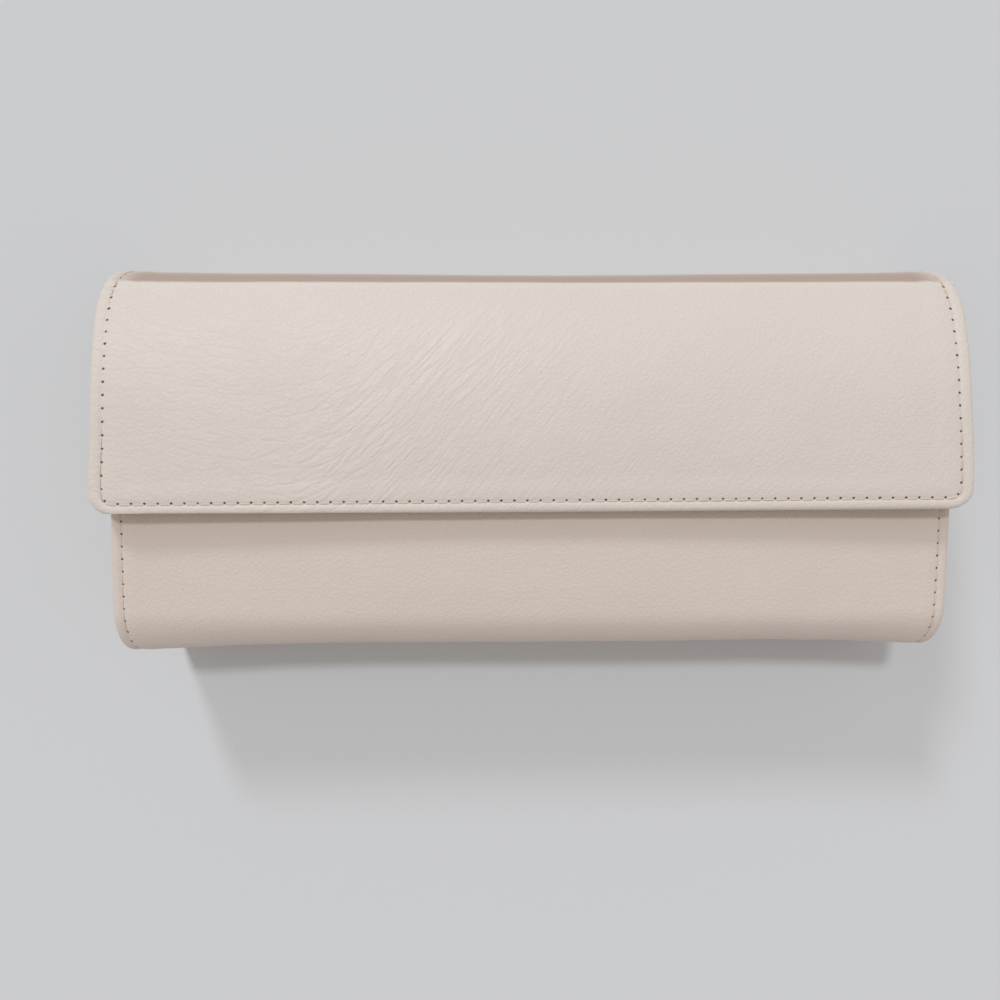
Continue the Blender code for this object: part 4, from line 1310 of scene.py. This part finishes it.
class CASE_OT_stitches(CaseStep, bpy.types.Operator):
    """Sew the seams of the flap, the back and the front panel"""
    bl_idname = "jewelry_case.stitches"
    bl_label = "Stitches"

    def make(self, scene):
        stitch = scene.case_stitch
        pitch = even_pitch(LID_RUN, stitch.pitch)
        pattern = stitch_pattern(stitch.radius, pitch)
        places = seam_places(LID, lid_seam_point, LID_RUN, pitch,
                             lambda x, along: STITCH_SINK + lip_sag(x, along), side_bow)
        sewn = scatter("flap_stitches", pattern, places)
        fold_at_crease(dress(sewn, "twisted_thread", None, "flap_stitching"))
        inner_share = 1 - RIM_WIDTH / SIDE_SHARE / FLAP_HALF
        left, right = side_seams(BACK, lambda run: back_half(run) * inner_share, stitch.pitch)
        fold_at_corner(dress(scatter("back_stitches", pattern, left + right), "twisted_thread", None))
        seams = side_seams(FRONT, lambda run: FRONT_HALF - RIM_WIDTH, stitch.pitch, panel_bow)
        for side, places in zip(SIDES, seams):
            sewn = scatter(f"front_stitches_{side}", pattern, places)
            dress(sewn, "twisted_thread", "case", f"front_stitching_{side}")
        discard(pattern)


class CASE_OT_gussets(CaseStep, bpy.types.Operator):
    """Form the two ends of the case with their sewn flanges"""
    bl_idname = "jewelry_case.gussets"
    bl_label = "Gussets"

    def make(self, scene):
        for side in SIDES:
            node = f"gusset_{side}"
            end = remade(node, f"end_hide_{side}", "front_leather_with_painted_shade", "case", GUSSET_BEVEL, 3)
            plain_cut(end, read_places(end)[:, [1, 2, 0]])


class CASE_OT_tray(CaseStep, bpy.types.Operator):
    """Cover the boards of the tray and of its ends in suede"""
    bl_idname = "jewelry_case.tray"
    bl_label = "Tray"

    def make(self, scene):
        for node, bevel in TRAY_BEVELS.items():
            remade(node, f"suede_{node}", "suede", "case", bevel, 3)


class CASE_OT_lid_lining(CaseStep, bpy.types.Operator):
    """Line the spine and the flap with one sheet of suede, cut out for the zip"""
    bl_idname = "jewelry_case.lid_lining"
    bl_label = "Lid Lining"

    def make(self, scene):
        low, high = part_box("zip_tape_lower")[0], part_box("zip_tape_upper")[1]
        side = high.x + ZIP_MARGIN
        top = LID.nearest(high.y + ZIP_MARGIN, flap_height(high.y))
        bottom = LID.nearest(low.y - ZIP_MARGIN, flap_height(low.y))
        columns = stations_through((-LINING_HALF, -side, side, LINING_HALF), LINING_FACE[0])
        rows = stations_through((0.0, top, bottom, LINING_END), LINING_FACE[1])
        lining = slab("lid_lining", columns, rows, lining_shape, (-side, side, top, bottom))
        soften_lining(lining)
        fold_at_crease(dress(lining, "suede", None, "spine_lining", "flap_lining"))
        half = lining_half((rows[1:] + rows[:-1]) / 2)
        cut = float(2 * half @ np.diff(rows)) - 2 * side * (bottom - top)
        self.sew_rim(scene.case_stitch)
        self.sew_zip(scene.case_stitch, side + ZIP_SEAM, top - ZIP_SEAM, bottom + ZIP_SEAM)

    def sew_rim(self, stitch):
        """Stitches round the flap's rim, on the inside."""
        def depth_at(x, along):
            return lid_thick(along) + lip_sag(x, along) + LINING_RISE * past_crease(along) - INNER_SINK
        pitch = even_pitch(LID_RUN, stitch.pitch)
        places = seam_places(LID, lid_seam_point, LID_RUN, pitch, depth_at, side_bow, -1.0, 0.0)[1:]
        pattern = stitch_pattern(stitch.radius, pitch)
        fold_at_crease(dress(scatter("inner_stitches", pattern, places), "twisted_thread", None))
        discard(pattern)

    def sew_zip(self, stitch, side, top, bottom):
        """Stitches round the window of the zip."""
        corners = [(side, top), (-side, top), (-side, bottom), (side, bottom)]
        face = FLAP_THICK + LINING_RISE - INNER_SINK
        places = []
        for start, end in zip(corners, corners[1:] + corners[:1]):
            run = math.dist(start, end)

            def plan(gone, start=start, end=end, run=run):
                return [between(first, last, gone / run) for first, last in zip(start, end)]
            places += seam_places(LID, plan, run, ZIP_STITCH, lambda x, along: face, None, -1.0)
        pattern = stitch_pattern(stitch.radius * 0.8, ZIP_STITCH)
        dress(scatter("zip_stitches", pattern, places), "twisted_thread", "flap")
        discard(pattern)


def soften_lining(obj):
    """Rounds the cut edges of a lining."""
    soften(obj, LINING_THICK * 0.4, 2, 60)
    smooth()


class CASE_OT_case_linings(CaseStep, bpy.types.Operator):
    """Line the front panel, and the corner between the tray and the spine"""
    bl_idname = "jewelry_case.case_linings"
    bl_label = "Front and Corner Linings"

    def make(self, scene):
        low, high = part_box("front_lining")
        first, last = FRONT_LINING_TOP, FRONT.nearest(BOTTOM_Y, low.z)
        front = self.strip("front_panel_lining", FRONT, high.x, first, last, lambda along: low.y - BOTTOM_Y)
        dress(front, "suede", "case", "front_lining")
        first = BACK.nearest(CORNER_Y - CORNER_LINING_RUN, 0.0)
        corner = self.strip("corner_lining", BACK, LINING_SPINE_HALF, first, BACK.length, corner_depth)
        fold_at_corner(dress(corner, "suede", None))

    def strip(self, name, section, half, first, last, depth_at):
        columns = stations(-half, half, STRIP_FACE[0])
        rows = stations(first, last, STRIP_FACE[1])
        made = slab(name, columns, rows, strip_shape(section, depth_at))
        soften_lining(made)
        return made


class CASE_OT_flap_pad(CaseStep, bpy.types.Operator):
    """Pad the flap between its board and its leather"""
    bl_idname = "jewelry_case.flap_pad"
    bl_label = "Flap Pad"

    def make(self, scene):
        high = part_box("flap_foam")[1]
        top = LID.nearest(high.y, flap_height(high.y))
        columns = stations(PAD_GAP - high.x, high.x - PAD_GAP, PAD_FACE[0])
        rows = stations(top, LID.length - FLAP_THICK, PAD_FACE[1])
        pad = slab("flap_pad", columns, rows, self.shape)
        soften(pad, PAD_THICK * 0.35, 2, 60)
        dress(pad, "foam", "flap", "flap_foam")

    def shape(self, x, along, inner):
        depth = np.where(inner, SKIN + PAD_THICK, SKIN + PAD_SLACK - crown(along) * 0.9)
        return LID.bent(x, along, depth), {"hide": spread(x, along, depth)}


class CASE_OT_ring_rolls(CaseStep, bpy.types.Operator):
    """Pad the three rolls that hold rings"""
    bl_idname = "jewelry_case.ring_rolls"
    bl_label = "Ring Rolls"

    def make(self, scene):
        for number in (1, 2, 3):
            node = f"ring_roll_{number}"
            roll = self.roll(f"padded_roll_{number}", *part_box(node), number)
            dress(roll, "suede", "case", node)

    def roll(self, name, low, high, seed, around=41, along=49):
        """A stuffed roll: round, tucked in at its ends and flat where it rests."""
        obj = plain_grid(name, around, along)
        column, row = grid_index(read_places(obj), around, along)
        turn = 2 * np.pi * column / (around - 1)
        share = row / (along - 1)
        middle = (low + high) / 2
        gap = np.minimum(share, 1 - share) * (high.x - low.x)
        tuck = np.sqrt(np.clip(1 - np.clip(1 - gap / ROLL_TUCK, 0, 1) ** 2, 0, 1))
        swell = 1 - ROLL_WAIST * (1 - np.cos(4 * np.pi * share)) / 2
        x = low.x + (high.x - low.x) * share
        ring = np.column_stack([x * 120, np.cos(turn) * 1.4, np.sin(turn) * 1.4])
        lumps = rumple(ring, 1.0, seed * 4.0) * ROLL_LUMPS
        reach = (high.y - low.y) / 2 * (ROLL_SLACK * swell * tuck) + lumps * tuck
        y = middle.y + reach * np.cos(turn)
        z = np.maximum(middle.z + reach * np.sin(turn), low.z + ROLL_FLAT)
        write_places(obj, np.column_stack([x, y, z]))
        tidy_shell(obj, 2 * SNUG, 60.0)
        return obj


class CASE_OT_zip(CaseStep, bpy.types.Operator):
    """Build the zip of the flap's pocket: tapes, teeth, stops, slider and pull"""
    bl_idname = "jewelry_case.zip"
    bl_label = "Zip"

    def make(self, scene):
        for side in ("upper", "lower"):
            node = f"zip_tape_{side}"
            remade(node, f"woven_{node}", "herringbone_tape", "flap", TAPE_BEVEL, 1)
        self.teeth()
        for side in SIDES:
            node = f"zip_stop_{side}"
            remade(node, f"clamped_{node}", "brass", "flap", STOP_BEVEL)
        remade("zip_slider", "slider_body", "brass", "zip_slider", CAP_BEVEL, 3)
        self.pull()

    def teeth(self):
        deselect()
        bpy.ops.mesh.primitive_cube_add(size=1.0)
        tooth = bpy.context.object
        tooth.data.transform(Matrix.Diagonal((*TOOTH_SIZE, 1.0)))
        edit(tooth, bpy.ops.mesh.bevel, offset=TOOTH_BEVEL, segments=1, profile=0.5)
        tidy_shell(tooth)
        low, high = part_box("zip_teeth")
        middle_y = (low.y + high.y) / 2
        along = LID.nearest(middle_y, flap_height(middle_y))
        count = round((high.x - low.x) / TOOTH_PITCH)
        places = []
        for number in range(count):
            x = low.x + (number + 0.5) * (high.x - low.x) / count
            shift = TOOTH_SHIFT if number % 2 else -TOOTH_SHIFT
            lift = Matrix.Translation((0, shift, TOOTH_LIFT))
            places.append(LID.inner_frame(x, along, TAPE_DEPTH) @ lift)
        dress(scatter("zip_chain", tooth, places), "brass", "flap", "zip_teeth")
        discard(tooth)

    def pull(self):
        """A flat pull with a window at its free end."""
        lay = Lay("zip_pull")
        half, wide, thick = lay.half_long, lay.half_wide, lay.thick
        outer = tapered_outline(half, wide, wide * 0.72, wide * 0.62)
        window = [(x + half * 0.42, y) for x, y in rounded_outline(half * 0.36, wide * 0.5, wide * 0.3)]
        eye = [(x - half * 0.80, y) for x, y in rounded_outline(half * 0.08, wide * 0.42, half * 0.06)]
        pull = plate("slider_pull", [outer, window, eye], thick, thick * 0.28, lay.matrix)
        dress(pull, "brass", "zip_pull", "zip_pull")


class CASE_OT_tabs(CaseStep, bpy.types.Operator):
    """Make the snap tabs that hold necklaces"""
    bl_idname = "jewelry_case.tabs"
    bl_label = "Necklace Tabs"

    def make(self, scene):
        for number in (1, 2, 3):
            tab = f"necklace_tab_{number}"
            strap = self.strap(tab, number, scene.case_stitch)
            plain_cut(strap, read_places(strap) + np.array([0.0, 1.0, 0.0]))
            dress(strap, "front_leather_with_painted_shade", tab, tab)
            remade(f"tab_snap_{number}", f"snap_cap_{number}", "brass", tab, CAP_BEVEL, 3)
            remade(f"tab_stud_{number}", f"snap_stud_{number}", "brass", "flap", STUD_BEVEL)

    def strap(self, tab, number, stitch):
        """A tongue of leather, sewn round its edge."""
        lay = Lay(tab)
        half, wide, thick = lay.half_long, lay.half_wide, lay.thick
        outline = rounded_outline(half, wide, TAB_CORNER)
        strap = plate(f"strap_{number}", [outline], thick, thick * 0.3, lay.matrix)
        seam = rounded_outline(half - TAB_SEAM, wide - TAB_SEAM, TAB_CORNER - TAB_SEAM)
        pattern = stitch_pattern(stitch.radius * 0.6, TAB_STITCH)
        places = []
        for side in (-1, 1):
            lift = lay.matrix @ Matrix.Translation((0, 0, side * thick / 2))
            places += [lift @ place for place in outline_places(seam, TAB_STITCH, side)]
        dress(scatter(f"strap_stitches_{number}", pattern, places), "twisted_thread", tab)
        discard(pattern)
        return strap


class CASE_OT_inner_layers(CaseStep, bpy.types.Operator):
    """Finish the boards, the magnets and their plates"""
    bl_idname = "jewelry_case.inner_layers"
    bl_label = "Inner Layers"

    def make(self, scene):
        finishes = {"board": ("back_board", "front_board", "bottom_board", "spine_board", "flap_board"),
                    "steel": ("flap_magnet_left", "flap_magnet_right", "keeper_plate_left",
                              "keeper_plate_right")}
        for finish, nodes in finishes.items():
            for node in nodes:
                paint(frame["nodes"][node], finish)


class CASE_OT_stage(CaseStep, bpy.types.Operator):
    """Lay the floor, hang the lamps and set up the camera"""
    bl_idname = "jewelry_case.stage"
    bl_label = "Stage"

    def make(self, scene):
        settings = scene.case_stage
        deselect()
        bpy.ops.mesh.primitive_plane_add(size=FLOOR_SIZE, location=(0, 0, -FLOOR_GAP))
        floor = bpy.context.object
        floor.name = "floor"
        graph = new_graph("floor")
        graph.fill(graph.shader, {"Base Color": rgba(settings.floor), "Roughness": 0.9,
                                  "Specular IOR Level": 0.1})
        paint(floor, "floor")
        self.shine("high_lamp", settings.daylight, settings.lamp, HIGH_LAMP, HIGH_WIDTH)
        self.shine("low_lamp", settings.daylight, settings.window, LOW_LAMP, LOW_WIDTH)
        self.light_round(scene, settings)
        camera = added("camera", bpy.data.cameras.new("camera"))
        camera.data.lens = CAMERA_LENS
        camera.data.clip_start = 0.01
        turn = Matrix.Identity(3)
        for axis, degrees in CAMERA_TURNS:
            turn = turn @ Matrix.Rotation(math.radians(degrees), 3, axis)
        camera.location = CAMERA_PLACE
        camera.rotation_euler = turn.to_euler()
        scene.camera = camera
        scene.view_settings.view_transform = "Standard"

    def shine(self, name, tint, strength, place, degrees):
        """Soft light from a direction. The wider it is, the softer are its shadows."""
        bpy.ops.object.light_add(type="SUN", location=place)
        lamp = bpy.context.object
        lamp.name = name
        lamp.data.color = tint
        lamp.data.energy = strength
        lamp.data.angle = math.radians(degrees)
        lamp.rotation_euler = (-Vector(place)).to_track_quat("-Z", "Y").to_euler()

    def light_round(self, scene, settings):
        """Even light from all round, behind which the camera sees a pale wall."""
        scene.world = bpy.data.worlds.new("studio")
        graph = Graph(scene.world, "Background")
        graph.fill(graph.shader, {"Color": rgba(settings.warmth), "Strength": settings.fill})
        seen = graph.node("ShaderNodeBackground", {}, {"Color": rgba(settings.floor), "Strength": 1.0})
        path = graph.node("ShaderNodeLightPath", {}, {})
        either = graph.math("MAXIMUM", path.outputs["Is Camera Ray"], path.outputs["Is Glossy Ray"])
        mix = graph.node("ShaderNodeMixShader", {},
                         {"Fac": either, 1: graph.shader.outputs[0], 2: seen.outputs[0]})
        graph.fill(graph.tree.nodes["World Output"], {"Surface": mix.outputs[0]})


class CASE_PT_panel(bpy.types.Panel):
    """Sizes, colours and steps of the jewelry case"""
    bl_label = "Jewelry Case"
    bl_idname = "CASE_PT_panel"
    bl_space_type = "VIEW_3D"
    bl_region_type = "UI"
    bl_category = "Jewelry Case"

    def draw(self, context):
        for name in GROUPS:
            group = getattr(context.scene, name)
            box = self.layout.box()
            for prop in group.bl_rna.properties.keys():
                if prop not in ("rna_type", "name"):
                    box.prop(group, prop)
        for step in STEPS:
            self.layout.operator(step.bl_idname)


GROUPS = {"case_leather": CaseLeather, "case_stitch": CaseStitch, "case_lining": CaseLining,
          "case_metal": CaseMetal, "case_stage": CaseStage}
STEPS = (CASE_OT_finishes, CASE_OT_flap_hide, CASE_OT_back_hide, CASE_OT_front_hide,
         CASE_OT_stitches, CASE_OT_gussets, CASE_OT_tray, CASE_OT_lid_lining,
         CASE_OT_case_linings, CASE_OT_flap_pad, CASE_OT_ring_rolls, CASE_OT_zip,
         CASE_OT_tabs, CASE_OT_inner_layers, CASE_OT_stage)


def register():
    for item in (*GROUPS.values(), *STEPS, CASE_PT_panel):
        bpy.utils.register_class(item)
    for name, group in GROUPS.items():
        setattr(bpy.types.Scene, name, bpy.props.PointerProperty(type=group))


def unregister():
    for name in GROUPS:
        delattr(bpy.types.Scene, name)
    for item in (CASE_PT_panel, *reversed(STEPS), *reversed(GROUPS.values())):
        bpy.utils.unregister_class(item)


def main():
    register()
    for step in STEPS:
        group, name = step.bl_idname.split(".")
        getattr(getattr(bpy.ops, group), name)()


if __name__ == "__main__":
    main()
